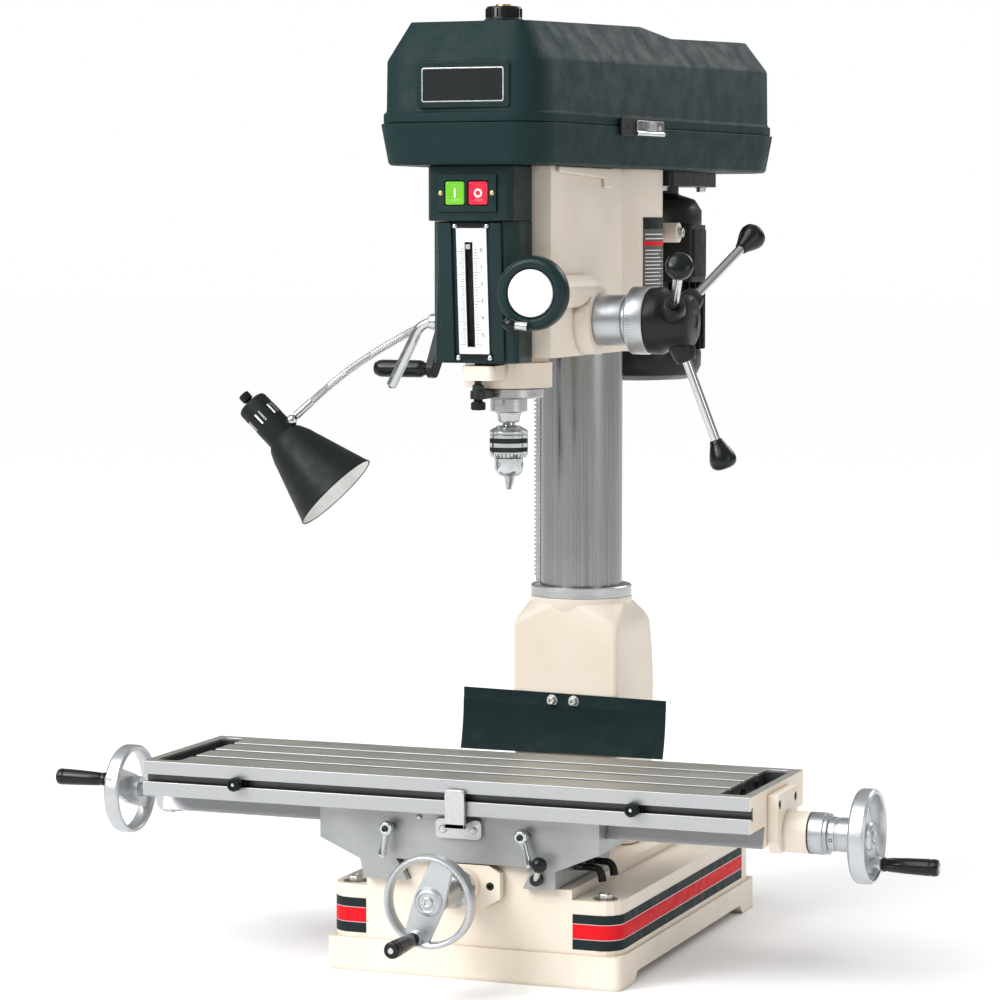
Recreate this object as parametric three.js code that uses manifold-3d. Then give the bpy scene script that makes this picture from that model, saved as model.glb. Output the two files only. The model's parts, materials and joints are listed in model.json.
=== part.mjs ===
// Vertical mill and drill with a round column, in millimetres, +Z up.
// The origin is on the floor on the column's axis; the front of the machine faces -Y.
import * as THREE from 'three';
import { mergeVertices } from 'three/addons/utils/BufferGeometryUtils.js';
import Module from 'manifold-3d';

const wasm = await Module();
wasm.setup();

const GAP = 0.3;
const TAU = Math.PI * 2;

// Base, with the cross slide's ways on top
const BASE_HALF = 206;
const BASE_FRONT = -430;
const BASE_BACK = 173;
const FOOT_TOP = 44;
const DECK_TOP = 115;
const BLOCK_LEFT = -149;
const BLOCK_RIGHT = 139;
const BASE_TOP = 128;
const WAY_TOP = 156;
const WAY_HALF_LOW = 80;
const WAY_HALF_HIGH = 95;
const WAY_BACK = -105;
const BASE_WALL = 14;
const BASE_CEILING = 100;

// Column and pedestal
const COLUMN_R = 57.5;
const COLUMN_BORE = 45;
const COLUMN_TOP = 905;
const PEDESTAL_HALF = 78;
const PEDESTAL_FRONT = -70;
const PEDESTAL_BACK = 96;
const PEDESTAL_TOP = 465;
const COLLAR_TOP = 481;
const COLLAR_R = 71;
const RACK_TOP = 900;
const RACK_PITCH = 14;

// Cross feed and saddle
const CROSS_X = -5;
const CROSS_Z = 128;
const SADDLE_FRONT = -440;
const SADDLE_BACK = -225;
const SADDLE_TOP = 223.7;
const SADDLE_RIGHT = 181;
const SADDLE_LEG = 121;
const CROSS_WHEEL_Y = -560;

// Table
const TABLE_LEFT = -455;
const TABLE_RIGHT = 392;
const TABLE_FRONT = -472;
const TABLE_BACK = -230;
const TABLE_BOTTOM = 224;
const TABLE_TOP = 271;
const SLOT_MIDDLE = -351;
const SLOT_SPACING = 60;
const LONG_Y = -352;
const LONG_Z = 210;
const LEFT_WHEEL_X = -535;
const RIGHT_WHEEL_X = 511;

// Handwheels
const WHEEL_R = 61;
const WHEEL_RIM = 11;
const WHEEL_WIDTH = 21;
const GRIP_AT = 51;

// Head
const HEAD_BOTTOM = 812;
const HEAD_TOP = 1062;
const HEAD_FRONT = -344;
const HEAD_HALF = 85;
const BARREL_R = 113;
const SPINDLE_Y = -290;
const QUILL_R = 37.5;
const QUILL_NOSE = 757;
const COVER_X = -6;
const COVER_HALF = 59;
const COVER_BOTTOM = 806;
const COVER_TOP = 990;
const START_X = -24;
const STOP_X = 8;
const DEPTH_ROD_X = -10;
const DEPTH_ROD_Y = -376;

// Coarse feed hub and fine feed wheel
const FEED_Y = -230;
const FEED_Z = 859;
const SPOKE_ROOT_X = 208;
const SPOKE_TIP_X = 271;
const SPOKE_REACH = 180;
const FINE_X = 86;
const FINE_Y = -414;
const FINE_Z = 898;

// Belt cover
const TRAY_BOTTOM = 1062.3;
const TRAY_TOP = 1116;
const LID_CREASE = 1198;
const LID_TOP = 1246;
const LID_STEP = 14;
const LID_FLANGE = 13;
const CREASE_RISE = 0.017;
const ROOF_RISE = 0.0265;
const CAP_X = -7;
const LATCH_AT = [138.1, -130, 0];
const LATCH_LEAN = 6.6;
const COVER_FRONT = -437;
const COVER_PLAN = [
  [-94, -437], [64, -442], [86, -428], [97, -402], [176, 285], [168, 342], [132, 398],
  [-104, 412], [-140, 374], [-147, 320], [-128, -394], [-117, -424],
];

// Belt drive: four steps, the radius of each belt's middle line from the bottom step up
const STEP_Z = [1104, 1126, 1148, 1170];
const SPINDLE_STEPS = [72, 62, 52, 42];
const IDLER_STEPS = [40, 50, 60, 70];
const MOTOR_STEPS = [65, 55, 45, 35];
const IDLER_Y = -40;
const MOTOR_Y = 245;
const BELT_WIDTH = 12;
const FRONT_BELT_STEP = 1;
const REAR_BELT_STEP = 3;

// Lamp
const LAMP_Y = -300;
const LAMP_RIM = [-241, LAMP_Y - 12, 625];
const LAMP_AXIS = [0.7, 0.08, -0.7];

const group = new THREE.Group();
group.name = 'mill_drill';

const BEIGE = { color: 0xe6dccb, roughness: 0.45, metalness: 0.0 };
const GREEN = { color: 0x1d2c2c, roughness: 0.5, metalness: 0.0 };
const BLACK = { color: 0x121212, roughness: 0.4, metalness: 0.0 };
const STEEL = { color: 0xb9bcbc, roughness: 0.3, metalness: 1.0 };
const IRON = { color: 0x8b8e8e, roughness: 0.5, metalness: 0.9 };
const CHROME = { color: 0xd5d8da, roughness: 0.12, metalness: 1.0 };
const ALLOY = { color: 0xc4c8cc, roughness: 0.35, metalness: 1.0 };
const RUBBER = { color: 0x222827, roughness: 0.8, metalness: 0.0 };

function solid(geometry) {
  geometry.deleteAttribute('normal');
  geometry.deleteAttribute('uv');
  const merged = mergeVertices(geometry, 1e-4);
  const mesh = new wasm.Mesh({
    numProp: 3,
    vertProperties: Float32Array.from(merged.attributes.position.array),
    triVerts: Uint32Array.from(merged.index.array),
  });
  return new wasm.Manifold(mesh);
}

function add(...solids) {
  return solids.reduce((whole, piece) => whole.add(piece));
}

function cut(body, ...tools) {
  return tools.reduce((left, tool) => left.subtract(tool), body);
}

function part(name, body, finish) {
  const mesh = body.getMesh();
  const geometry = new THREE.BufferGeometry();
  geometry.setAttribute('position', new THREE.BufferAttribute(mesh.vertProperties, 3));
  geometry.setIndex(new THREE.BufferAttribute(mesh.triVerts, 1));
  geometry.computeVertexNormals();
  const object = new THREE.Mesh(geometry, new THREE.MeshStandardMaterial(finish));
  object.name = name;
  group.add(object);
}

function box(x0, x1, y0, y1, z0, z1) {
  const geometry = new THREE.BoxGeometry(x1 - x0, y1 - y0, z1 - z0);
  geometry.translate((x0 + x1) / 2, (y0 + y1) / 2, (z0 + z1) / 2);
  return solid(geometry);
}

function turnTo(geometry, direction, place) {
  const up = new THREE.Vector3(0, 1, 0);
  const turn = new THREE.Quaternion().setFromUnitVectors(up, direction);
  geometry.applyQuaternion(turn);
  geometry.translate(place.x, place.y, place.z);
  return solid(geometry);
}

function rod(from, to, radius, sides = 24, endRadius = radius) {
  const start = new THREE.Vector3(...from);
  const end = new THREE.Vector3(...to);
  const length = start.distanceTo(end);
  const geometry = new THREE.CylinderGeometry(endRadius, radius, length, sides);
  const middle = start.clone().add(end).multiplyScalar(0.5);
  return turnTo(geometry, end.sub(start).normalize(), middle);
}

function lathe(profile, origin, direction, sides = 32) {
  const points = profile.map(([radius, height]) => new THREE.Vector2(radius, height));
  const geometry = new THREE.LatheGeometry(points, sides);
  return turnTo(geometry, new THREE.Vector3(...direction).normalize(), new THREE.Vector3(...origin));
}

function ball(centre, radius, sides = 16) {
  const geometry = new THREE.SphereGeometry(radius, sides, Math.round(sides / 2));
  geometry.translate(...centre);
  return solid(geometry);
}

const AXES = {
  x: [[0, 1, 0], [0, 0, 1], [1, 0, 0]],
  y: [[1, 0, 0], [0, 0, 1], [0, -1, 0]],
  z: [[1, 0, 0], [0, 1, 0], [0, 0, 1]],
};

// A flat outline carried along an axis: (y, z) along x, (x, z) along y, (x, y) along z
function prism(points, axis, low, high) {
  const shape = new THREE.Shape(points.map(([u, v]) => new THREE.Vector2(u, v)));
  const geometry = new THREE.ExtrudeGeometry(shape, { depth: high - low, bevelEnabled: false });
  const [u, v, w] = AXES[axis].map((a) => new THREE.Vector3(...a));
  geometry.applyMatrix4(new THREE.Matrix4().makeBasis(u, v, w));
  const start = w.multiplyScalar(axis === 'y' ? -high : low);
  geometry.translate(start.x, start.y, start.z);
  return solid(geometry);
}

function sweep(points, radius, steps, sides = 12) {
  const path = new THREE.CatmullRomCurve3(points.map((p) => new THREE.Vector3(...p)));
  const shape = new THREE.Shape(
    arc(0, 0, radius, 0, TAU, sides).slice(0, -1).map(([u, v]) => new THREE.Vector2(u, v)),
  );
  return solid(new THREE.ExtrudeGeometry(shape, { steps, bevelEnabled: false, extrudePath: path }));
}

function arc(cx, cy, radius, from, to, steps) {
  const points = [];
  for (let i = 0; i <= steps; i += 1) {
    const angle = from + ((to - from) * i) / steps;
    points.push([cx + radius * Math.cos(angle), cy + radius * Math.sin(angle)]);
  }
  return points;
}

function roundedRectangle(x0, x1, y0, y1, radius, steps = 4) {
  return [
    ...arc(x1 - radius, y0 + radius, radius, -TAU / 4, 0, steps),
    ...arc(x1 - radius, y1 - radius, radius, 0, TAU / 4, steps),
    ...arc(x0 + radius, y1 - radius, radius, TAU / 4, TAU / 2, steps),
    ...arc(x0 + radius, y0 + radius, radius, TAU / 2, (TAU * 3) / 4, steps),
  ];
}

// Moves each side of a convex outline outwards by the distance given
function offset(points, distance) {
  return points.map((here, i) => {
    const before = points[(i + points.length - 1) % points.length];
    const after = points[(i + 1) % points.length];
    const n1 = outward(before, here);
    const n2 = outward(here, after);
    const share = distance / (1 + n1[0] * n2[0] + n1[1] * n2[1]);
    return [here[0] + (n1[0] + n2[0]) * share, here[1] + (n1[1] + n2[1]) * share];
  });
}

function outward(a, b) {
  const length = Math.hypot(b[0] - a[0], b[1] - a[1]);
  return [(b[1] - a[1]) / length, (a[0] - b[0]) / length];
}

// Joins outlines of equal point count, each at its own height, which may rise along y
function loft(sections) {
  const count = sections[0].points.length;
  const positions = [];
  const faces = [];
  for (const section of sections) {
    for (const [x, y] of section.points) {
      positions.push(x, y, section.z + (section.rise ?? 0) * (y - COVER_FRONT));
    }
  }
  for (let s = 0; s + 1 < sections.length; s += 1) {
    for (let i = 0; i < count; i += 1) {
      const a = s * count + i;
      const b = s * count + ((i + 1) % count);
      faces.push(a, b, b + count, a, b + count, a + count);
    }
  }
  const last = (sections.length - 1) * count;
  for (let i = 1; i + 1 < count; i += 1) {
    faces.push(0, i + 1, i, last, last + i, last + i + 1);
  }
  const geometry = new THREE.BufferGeometry();
  geometry.setAttribute('position', new THREE.Float32BufferAttribute(positions, 3));
  geometry.setIndex(faces);
  return solid(geometry);
}

function hull(points) {
  const sorted = [...points].sort((a, b) => a[0] - b[0] || a[1] - b[1]);
  const turn = (o, a, b) => (a[0] - o[0]) * (b[1] - o[1]) - (a[1] - o[1]) * (b[0] - o[0]);
  const chain = (list) => {
    const out = [];
    for (const point of list) {
      while (out.length > 1 && turn(out[out.length - 2], out[out.length - 1], point) <= 1e-9) {
        out.pop();
      }
      out.push(point);
    }
    return out.slice(0, -1);
  };
  return [...chain(sorted), ...chain(sorted.reverse())];
}

function capsule(a, ra, b, rb, sides = 24) {
  return hull([
    ...arc(a[0], a[1], ra, 0, TAU, sides).slice(0, -1),
    ...arc(b[0], b[1], rb, 0, TAU, sides).slice(0, -1),
  ]);
}

function baseCasting() {
  const foot = prism(roundedRectangle(-BASE_HALF, BASE_HALF, BASE_FRONT, BASE_BACK, 10, 4), 'z', 0, FOOT_TOP);
  const bodyPlan = roundedRectangle(-BASE_HALF + 4, BASE_HALF - 4, BASE_FRONT + 4, BASE_BACK - 4, 28, 4);
  const body = prism(bodyPlan, 'z', FOOT_TOP - 1, DECK_TOP);
  const block = box(BLOCK_LEFT, BLOCK_RIGHT, BASE_FRONT + 4, BASE_BACK - 4, DECK_TOP - 1, BASE_TOP);
  const way = prism([
    [CROSS_X - WAY_HALF_LOW, BASE_TOP - 1], [CROSS_X + WAY_HALF_LOW, BASE_TOP - 1],
    [CROSS_X + WAY_HALF_LOW, BASE_TOP], [CROSS_X + WAY_HALF_HIGH, WAY_TOP],
    [CROSS_X - WAY_HALF_HIGH, WAY_TOP], [CROSS_X - WAY_HALF_LOW, BASE_TOP],
  ], 'y', BASE_FRONT + 4, WAY_BACK);
  const cavity = cut(
    box(-BASE_HALF + 18, BASE_HALF - 18, BASE_FRONT + 18, BASE_BACK - 18, -1, BASE_CEILING),
    rod([0, 0, -2], [0, 0, BASE_CEILING + 1], 62, 20),
  );
  const channel = box(CROSS_X - 24, CROSS_X + 24, BASE_FRONT + 18, WAY_BACK - 8, 112, WAY_TOP + 1);
  const screwHole = rod([CROSS_X, BASE_FRONT - 5, CROSS_Z], [CROSS_X, BASE_FRONT + 20, CROSS_Z], 9.8, 16);
  const backArch = [[-152, -1], [-138, 14], [138, 14], [152, -1]];
  const sideArch = [[-372, -1], [-358, 14], [102, 14], [116, -1]];
  let base = add(foot, body, block, way);
  base = cut(base, cavity, channel, screwHole);
  base = cut(base, prism(backArch, 'y', BASE_BACK - 19, BASE_BACK + 1));
  for (const side of [-1, 1]) {
    const inner = side * (BASE_HALF - 19);
    const outer = side * (BASE_HALF + 1);
    base = cut(base, prism(sideArch, 'x', Math.min(inner, outer), Math.max(inner, outer)));
    for (const y of [BASE_FRONT + 30, BASE_BACK - 30]) {
      base = cut(base, rod([side * 176, y, DECK_TOP - 5], [side * 176, y, DECK_TOP + 1], 17, 12));
    }
  }
  part('base_casting', base, BEIGE);
}

function pedestal() {
  const round = roundedRectangle(-71, 71, -70, 70, 69, 6);
  const wide = roundedRectangle(-PEDESTAL_HALF - 12, PEDESTAL_HALF + 12, -82, 108, 20, 6);
  const square = (back) => roundedRectangle(-PEDESTAL_HALF, PEDESTAL_HALF, PEDESTAL_FRONT, back, 8, 6);
  const body = loft([
    { points: wide, z: BASE_TOP + 21 },
    { points: square(PEDESTAL_BACK), z: BASE_TOP + 60 },
    { points: square(PEDESTAL_BACK), z: 330 },
    { points: square(88), z: 390 },
    { points: square(76), z: 432 },
    { points: round, z: 459 },
    { points: round, z: PEDESTAL_TOP },
  ]);
  const flange = prism(roundedRectangle(-108, 108, -98, 128, 20), 'z', BASE_TOP + GAP, BASE_TOP + 22);
  const bore = rod([0, 0, 440], [0, 0, PEDESTAL_TOP + 1], COLUMN_R + GAP, 40);
  part('pedestal', cut(add(body, flange), bore), BEIGE);
}

function column() {
  const tube = rod([0, 0, 440 + GAP], [0, 0, COLUMN_TOP], COLUMN_R, 40);
  const inside = rod([0, 0, 439], [0, 0, COLUMN_TOP + 1], COLUMN_BORE, 24);
  part('column', cut(tube, inside), STEEL);
}

function columnRack() {
  const comb = [[-56, COLLAR_TOP - 6], [-64, COLLAR_TOP - 6]];
  for (let z = COLLAR_TOP + 6; z + RACK_PITCH < RACK_TOP; z += RACK_PITCH) {
    comb.push([-64, z], [-67.5, z + 4], [-67.5, z + 10]);
  }
  comb.push([-64, RACK_TOP], [-56, RACK_TOP]);
  const strip = prism(comb, 'y', -11, 11);
  const ring = rod([0, 0, PEDESTAL_TOP + GAP], [0, 0, COLLAR_TOP], COLLAR_R, 32);
  const hole = rod([0, 0, 440], [0, 0, COLUMN_TOP + 5], COLUMN_R + GAP, 40);
  part('column_rack', cut(add(strip, ring), hole), STEEL);
}

function chipGuard() {
  const y = PEDESTAL_FRONT - GAP;
  const front = [
    [y - 3, 334], [y - 3, 323], [y - 3.5, 311], [y - 5, 294], [y - 8, 277], [y - 12, 261], [y - 16, 249],
  ];
  const back = front.map(([u, v]) => [u + 2.9, v + 0.5]).reverse();
  const top = [[y, 335], [y, 321], [y - 1, 320]];
  const sheet = prism([...front, ...back.slice(0, -2), ...top.reverse()], 'x', -150, 150);
  let guard = sheet;
  for (const x of [-17, 15]) {
    guard = add(guard, rod([x, y - 0.5, 325], [x, y - 6, 325], 7.5, 12), rod([x, y - 5, 325], [x, y - 11, 325], 6, 6));
  }
  part('chip_guard', guard, RUBBER);
}

function crossBracket() {
  const front = BASE_FRONT + 4 - GAP;
  const outline = [
    [CROSS_X - 50, 112], [CROSS_X - 26, 98], [CROSS_X + 26, 98], [CROSS_X + 50, 112],
    [CROSS_X + 50, 146], [CROSS_X + 34, WAY_TOP - 1], [CROSS_X - 34, WAY_TOP - 1], [CROSS_X - 50, 146],
  ];
  const plate = prism(outline, 'y', front - 14, front);
  const nose = rod([CROSS_X, front - 13, CROSS_Z], [CROSS_X, front - 34, CROSS_Z], 22, 24, 19);
  let bracket = add(plate, nose);
  bracket = cut(bracket, rod([CROSS_X, front - 40, CROSS_Z], [CROSS_X, front + 1, CROSS_Z], 9.3, 20));
  for (const x of [CROSS_X - 36, CROSS_X + 36]) {
    bracket = cut(bracket, rod([x, front - 15, CROSS_Z], [x, front - 6, CROSS_Z], 5.5, 16));
  }
  part('cross_bracket', bracket, BEIGE);
}

function saddle() {
  const outline = [
    [CROSS_X - 205, SADDLE_TOP], [CROSS_X - 205, 178], [CROSS_X - 148, 153], [CROSS_X - 142, BASE_TOP + GAP],
    [SADDLE_LEG, BASE_TOP + GAP], [SADDLE_LEG, 153], [SADDLE_RIGHT, 178], [SADDLE_RIGHT, SADDLE_TOP],
  ];
  const block = prism(outline, 'y', SADDLE_FRONT, SADDLE_BACK);
  const low = WAY_HALF_LOW + 0.5;
  const high = WAY_HALF_HIGH + 0.5;
  const underway = prism([
    [CROSS_X - low, BASE_TOP - 1], [CROSS_X + low, BASE_TOP - 1], [CROSS_X + low, BASE_TOP],
    [CROSS_X + high, WAY_TOP + GAP], [CROSS_X - high, WAY_TOP + GAP], [CROSS_X - low, BASE_TOP],
  ], 'y', SADDLE_FRONT - 1, SADDLE_BACK + 1);
  const overway = prism([
    [-405.5, SADDLE_TOP + 1], [-415.5, 196 - GAP], [-286.5, 196 - GAP], [-296.5, SADDLE_TOP + 1],
  ], 'x', CROSS_X - 206, CROSS_X + 206);
  const longNut = box(-30, 20, LONG_Y - 15, LONG_Y + 15, 190, 221);
  const crossNut = box(CROSS_X - 20, CROSS_X + 20, -330, -286, 114, WAY_TOP + 2);
  const plate = box(CROSS_X - 37, CROSS_X + 25, SADDLE_FRONT - 6, SADDLE_FRONT + 1, 190, 214);
  const shelf = box(CROSS_X - 11, CROSS_X + 15, -480, SADDLE_FRONT - 5, 208, 214);
  const tab = box(CROSS_X - 11, CROSS_X + 15, -480, -475, 208, 258);
  let body = cut(block, underway, overway);
  body = add(body, longNut, crossNut, plate, shelf, tab);
  body = cut(body, rod([-31, LONG_Y, LONG_Z], [21, LONG_Y, LONG_Z], 10.3, 20));
  body = cut(body, rod([CROSS_X, -331, CROSS_Z], [CROSS_X, -285, CROSS_Z], 9.3, 20));
  for (const x of [CROSS_X - 27, CROSS_X + 15]) {
    body = add(body, rod([x, SADDLE_FRONT - 5, 201], [x, SADDLE_FRONT - 9, 201], 5, 12));
  }
  part('saddle', body, IRON);
}

function tableLock(name, x, lean) {
  const y = SADDLE_FRONT - GAP;
  const shaft = rod([x, y, 199], [x, y - 24, 199], 4.5, 12);
  const hub = rod([x, y - 12, 199], [x, y - 22, 199], 8, 14);
  const arm = prism(capsule([x, 199], 6, [x + lean, 164], 5.5, 14), 'y', y - 21, y - 13);
  part(name, add(shaft, hub, arm), STEEL);
}

function saddleLocks() {
  for (const [name, y] of [['saddle_lock_front', -365], ['saddle_lock_rear', -318]]) {
    part(name, sideLever(SADDLE_LEG + GAP, y, 147.5), BLACK);
  }
}

function sideLever(x, y, z) {
  const stud = rod([x, y, z], [x + 10, y, z], 5, 12);
  const bar = box(x + 5, x + 40, y - 5, y + 5, z - 5, z + 5);
  const drop = rod([x + 35, y, z + 3], [x + 39, y, z - 19], 5.5, 10, 7);
  return add(stud, bar, drop);
}

function ballLever() {
  const root = [CROSS_X + 102, SADDLE_FRONT - GAP, 142];
  const hub = rod(root, [root[0], root[1] - 12, root[2]], 7, 20);
  const arm = rod([root[0], root[1] - 7, root[2]], [root[0] + 9, root[1] - 20, root[2] + 20], 4, 12);
  const knob = ball([root[0] + 10, root[1] - 22, root[2] + 23], 10.5, 12);
  part('saddle_ball_lever', add(hub, arm, knob), BLACK);
}

function table() {
  let body = box(TABLE_LEFT, TABLE_RIGHT, TABLE_FRONT, TABLE_BACK, TABLE_BOTTOM, TABLE_TOP);
  body = add(body, prism([
    [-405, TABLE_BOTTOM + 1], [-415, 196], [-287, 196], [-297, TABLE_BOTTOM + 1],
  ], 'x', TABLE_LEFT, TABLE_RIGHT));
  body = cut(body, box(TABLE_LEFT - 1, TABLE_RIGHT + 1, LONG_Y - 19, LONG_Y + 19, 195, 222));
  for (const step of [-1, 0, 1]) {
    const y = SLOT_MIDDLE + step * SLOT_SPACING;
    body = cut(body, box(TABLE_LEFT + 30, TABLE_RIGHT - 30, y - 7, y + 7, 255, TABLE_TOP + 1));
    body = cut(body, box(TABLE_LEFT + 30, TABLE_RIGHT - 30, y - 12, y + 12, 249, 259));
  }
  for (const [low, high] of [[TABLE_LEFT + 12, TABLE_LEFT + 46], [TABLE_RIGHT - 46, TABLE_RIGHT - 12]]) {
    body = cut(body, prism(roundedRectangle(low, high, TABLE_FRONT + 16, TABLE_BACK - 16, 8), 'z', 252, TABLE_TOP + 1));
  }
  body = cut(body, box(TABLE_LEFT - 1, TABLE_RIGHT + 1, TABLE_FRONT - 1, TABLE_FRONT + 7, 243, 253));
  body = cut(body, box(TABLE_LEFT - 1, TABLE_RIGHT + 1, TABLE_FRONT + 6, TABLE_FRONT + 13, 240, 256));
  part('table', body, IRON);
}

function stopDog(name, x) {
  const y = TABLE_FRONT;
  const foot = box(x - 9, x + 9, y + 6.5, y + 12, 241, 255);
  const neck = rod([x, y + 7, 248], [x, y - 3, 248], 4.6, 16);
  const knob = rod([x, y - 2, 248], [x, y - 17, 248], 9, 12);
  const tip = rod([x, y - 16, 248], [x, y - 19, 248], 6, 16, 5);
  part(name, add(foot, neck, knob, tip), BLACK);
}

function endBracket(name, face, length) {
  const side = Math.sign(face);
  const outer = face + side * 14;
  const tip = face + side * length;
  const outline = [
    [-398, 263], [-398, 202], [-382, 186], [-322, 186], [-306, 202], [-306, 263],
  ];
  const plate = prism(outline, 'x', Math.min(face, outer), Math.max(face, outer));
  const boss = rod([face + side, LONG_Y, LONG_Z], [tip, LONG_Y, LONG_Z], 27, 24);
  const bore = rod([face - side, LONG_Y, LONG_Z], [tip + side, LONG_Y, LONG_Z], 10.3, 20);
  let bracket = cut(add(plate, boss), bore);
  for (const y of [-388, -316]) {
    bracket = cut(bracket, rod([outer + side, y, 250], [outer - side * 8, y, 250], 6, 16));
  }
  part(name, bracket, BEIGE);
}

// A spoked wheel about the x axis at the origin, its outer face towards +X, with a pin for the grip
function handwheelX(bore, angle) {
  const inner = WHEEL_R - WHEEL_RIM;
  const half = WHEEL_WIDTH / 2;
  const rim = lathe([
    [inner, 0], [inner + 3, -half], [WHEEL_R - 3, -half], [WHEEL_R, 0],
    [WHEEL_R - 3, half], [inner + 3, half], [inner, 0],
  ], [0, 0, 0], [1, 0, 0], 28);
  const web = prism([
    [-18, 0], [-11, -inner - 5], [11, -inner - 5], [18, 0], [11, inner + 5], [-11, inner + 5],
  ], 'x', -5, 3);
  const hub = lathe([[0, -18], [19, -18], [19, 5], [15, 9], [0, 9]], [0, 0, 0], [1, 0, 0], 14);
  const pin = rod([2, 0, -GRIP_AT], [88, 0, -GRIP_AT], 4, 8);
  const seat = rod([2, 0, -GRIP_AT], [11, 0, -GRIP_AT], 8.5, 12);
  const wheel = cut(add(rim, web, hub, pin, seat), rod([-19, 0, 0], [10, 0, 0], bore, 16));
  return wheel.rotate([angle, 0, 0]);
}

// The turning grip that goes with handwheelX
function gripX(angle) {
  const profile = [
    [4.3, 12], [9, 13], [8, 22], [11, 50], [10.5, 72], [6, 86], [4.3, 86], [4.3, 12],
  ];
  return lathe(profile, [0, 0, -GRIP_AT], [1, 0, 0], 12).rotate([angle, 0, 0]);
}

function longFeed() {
  const screw = rod([LEFT_WHEEL_X + 4, LONG_Y, LONG_Z], [RIGHT_WHEEL_X - 4, LONG_Y, LONG_Z], 10);
  part('long_screw', screw, STEEL);
  const start = TABLE_RIGHT + GAP + 46;
  const dial = cut(
    add(
      rod([start, LONG_Y, LONG_Z], [start + 26, LONG_Y, LONG_Z], 27, 28),
      rod([start + 25, LONG_Y, LONG_Z], [RIGHT_WHEEL_X - 19, LONG_Y, LONG_Z], 19, 20),
    ),
    rod([start - 1, LONG_Y, LONG_Z], [RIGHT_WHEEL_X, LONG_Y, LONG_Z], 10.3, 20),
  );
  part('long_dial', dial, STEEL);
  const right = [RIGHT_WHEEL_X, LONG_Y, LONG_Z];
  part('right_wheel', handwheelX(10.3, 37).translate(right), ALLOY);
  part('right_grip', gripX(37).translate(right), BLACK);
  const left = [LEFT_WHEEL_X, LONG_Y, LONG_Z];
  part('left_wheel', handwheelX(10.3, 112).rotate([0, 0, 180]).translate(left), ALLOY);
  part('left_grip', gripX(112).rotate([0, 0, 180]).translate(left), BLACK);
}

function crossFeed() {
  const at = [CROSS_X, CROSS_WHEEL_Y, CROSS_Z];
  part('cross_screw', rod([CROSS_X, CROSS_WHEEL_Y + 4, CROSS_Z], [CROSS_X, -130, CROSS_Z], 9), STEEL);
  const start = BASE_FRONT + 4 - GAP - 34 - GAP;
  const dial = cut(
    add(
      rod([CROSS_X, start, CROSS_Z], [CROSS_X, start - 26, CROSS_Z], 24, 28),
      rod([CROSS_X, start - 25, CROSS_Z], [CROSS_X, CROSS_WHEEL_Y + 19, CROSS_Z], 17, 20),
    ),
    rod([CROSS_X, start + 1, CROSS_Z], [CROSS_X, CROSS_WHEEL_Y, CROSS_Z], 9.3, 20),
  );
  part('cross_dial', dial, STEEL);
  part('cross_wheel', handwheelX(9.3, -20).rotate([0, 0, -90]).translate(at), ALLOY);
  part('cross_grip', gripX(-20).rotate([0, 0, -90]).translate(at), BLACK);
}

function headCasting() {
  const plan = [
    [-79, HEAD_FRONT], [79, HEAD_FRONT], [HEAD_HALF, HEAD_FRONT + 14], [HEAD_HALF, 0],
    [-HEAD_HALF, 0], [-HEAD_HALF, HEAD_FRONT + 14],
  ];
  let head = add(
    prism(plan, 'z', HEAD_BOTTOM, HEAD_TOP),
    rod([0, 0, HEAD_BOTTOM], [0, 0, HEAD_TOP], BARREL_R, 40),
    rod([0, SPINDLE_Y, 771], [0, SPINDLE_Y, 804], 58, 36),
    rod([0, SPINDLE_Y, 803], [0, SPINDLE_Y, HEAD_BOTTOM + 1], 53, 28),
    prism(roundedRectangle(-28, 16, -392, -330, 8), 'z', 783, 802),
    rod([80, FEED_Y, FEED_Z], [107, FEED_Y, FEED_Z], 46, 28),
    rod([FINE_X, -386, FINE_Z], [FINE_X, FEED_Y, FINE_Z], 22, 20),
    rod([-80, -150, 850], [-126, -150, 850], 30, 20, 25),
    rod([70, 80, 975], [117, 80, 975], 14, 20),
    rod([0, SPINDLE_Y, HEAD_TOP - 1], [0, SPINDLE_Y, 1088], 33, 20),
    rod([0, IDLER_Y, HEAD_TOP - 1], [0, IDLER_Y, 1188], 10, 16),
  );
  head = cut(
    head,
    rod([0, 0, HEAD_BOTTOM - 1], [0, 0, 1048], COLUMN_R + GAP, 40),
    box(-69, -50, -11.5, 11.5, HEAD_BOTTOM - 1, 1048),
    rod([0, SPINDLE_Y, 770], [0, SPINDLE_Y, 1004], QUILL_R + GAP, 32),
    rod([0, SPINDLE_Y, 1003], [0, SPINDLE_Y, 1090], 15, 16),
    rod([DEPTH_ROD_X, DEPTH_ROD_Y, 780], [DEPTH_ROD_X, DEPTH_ROD_Y, 805], 5.4, 12),
    rod([45, FEED_Y, FEED_Z], [108, FEED_Y, FEED_Z], 14.6, 16),
    rod([FINE_X, -387, FINE_Z], [FINE_X, -300, FINE_Z], 8.6, 12),
    rod([-92, -150, 850], [-127, -150, 850], 9.6, 12),
  );
  part('head_casting', head, BEIGE);
}

function coverFront(z) {
  return -397 - (14 * (z - COVER_BOTTOM)) / (COVER_TOP - COVER_BOTTOM);
}

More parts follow.
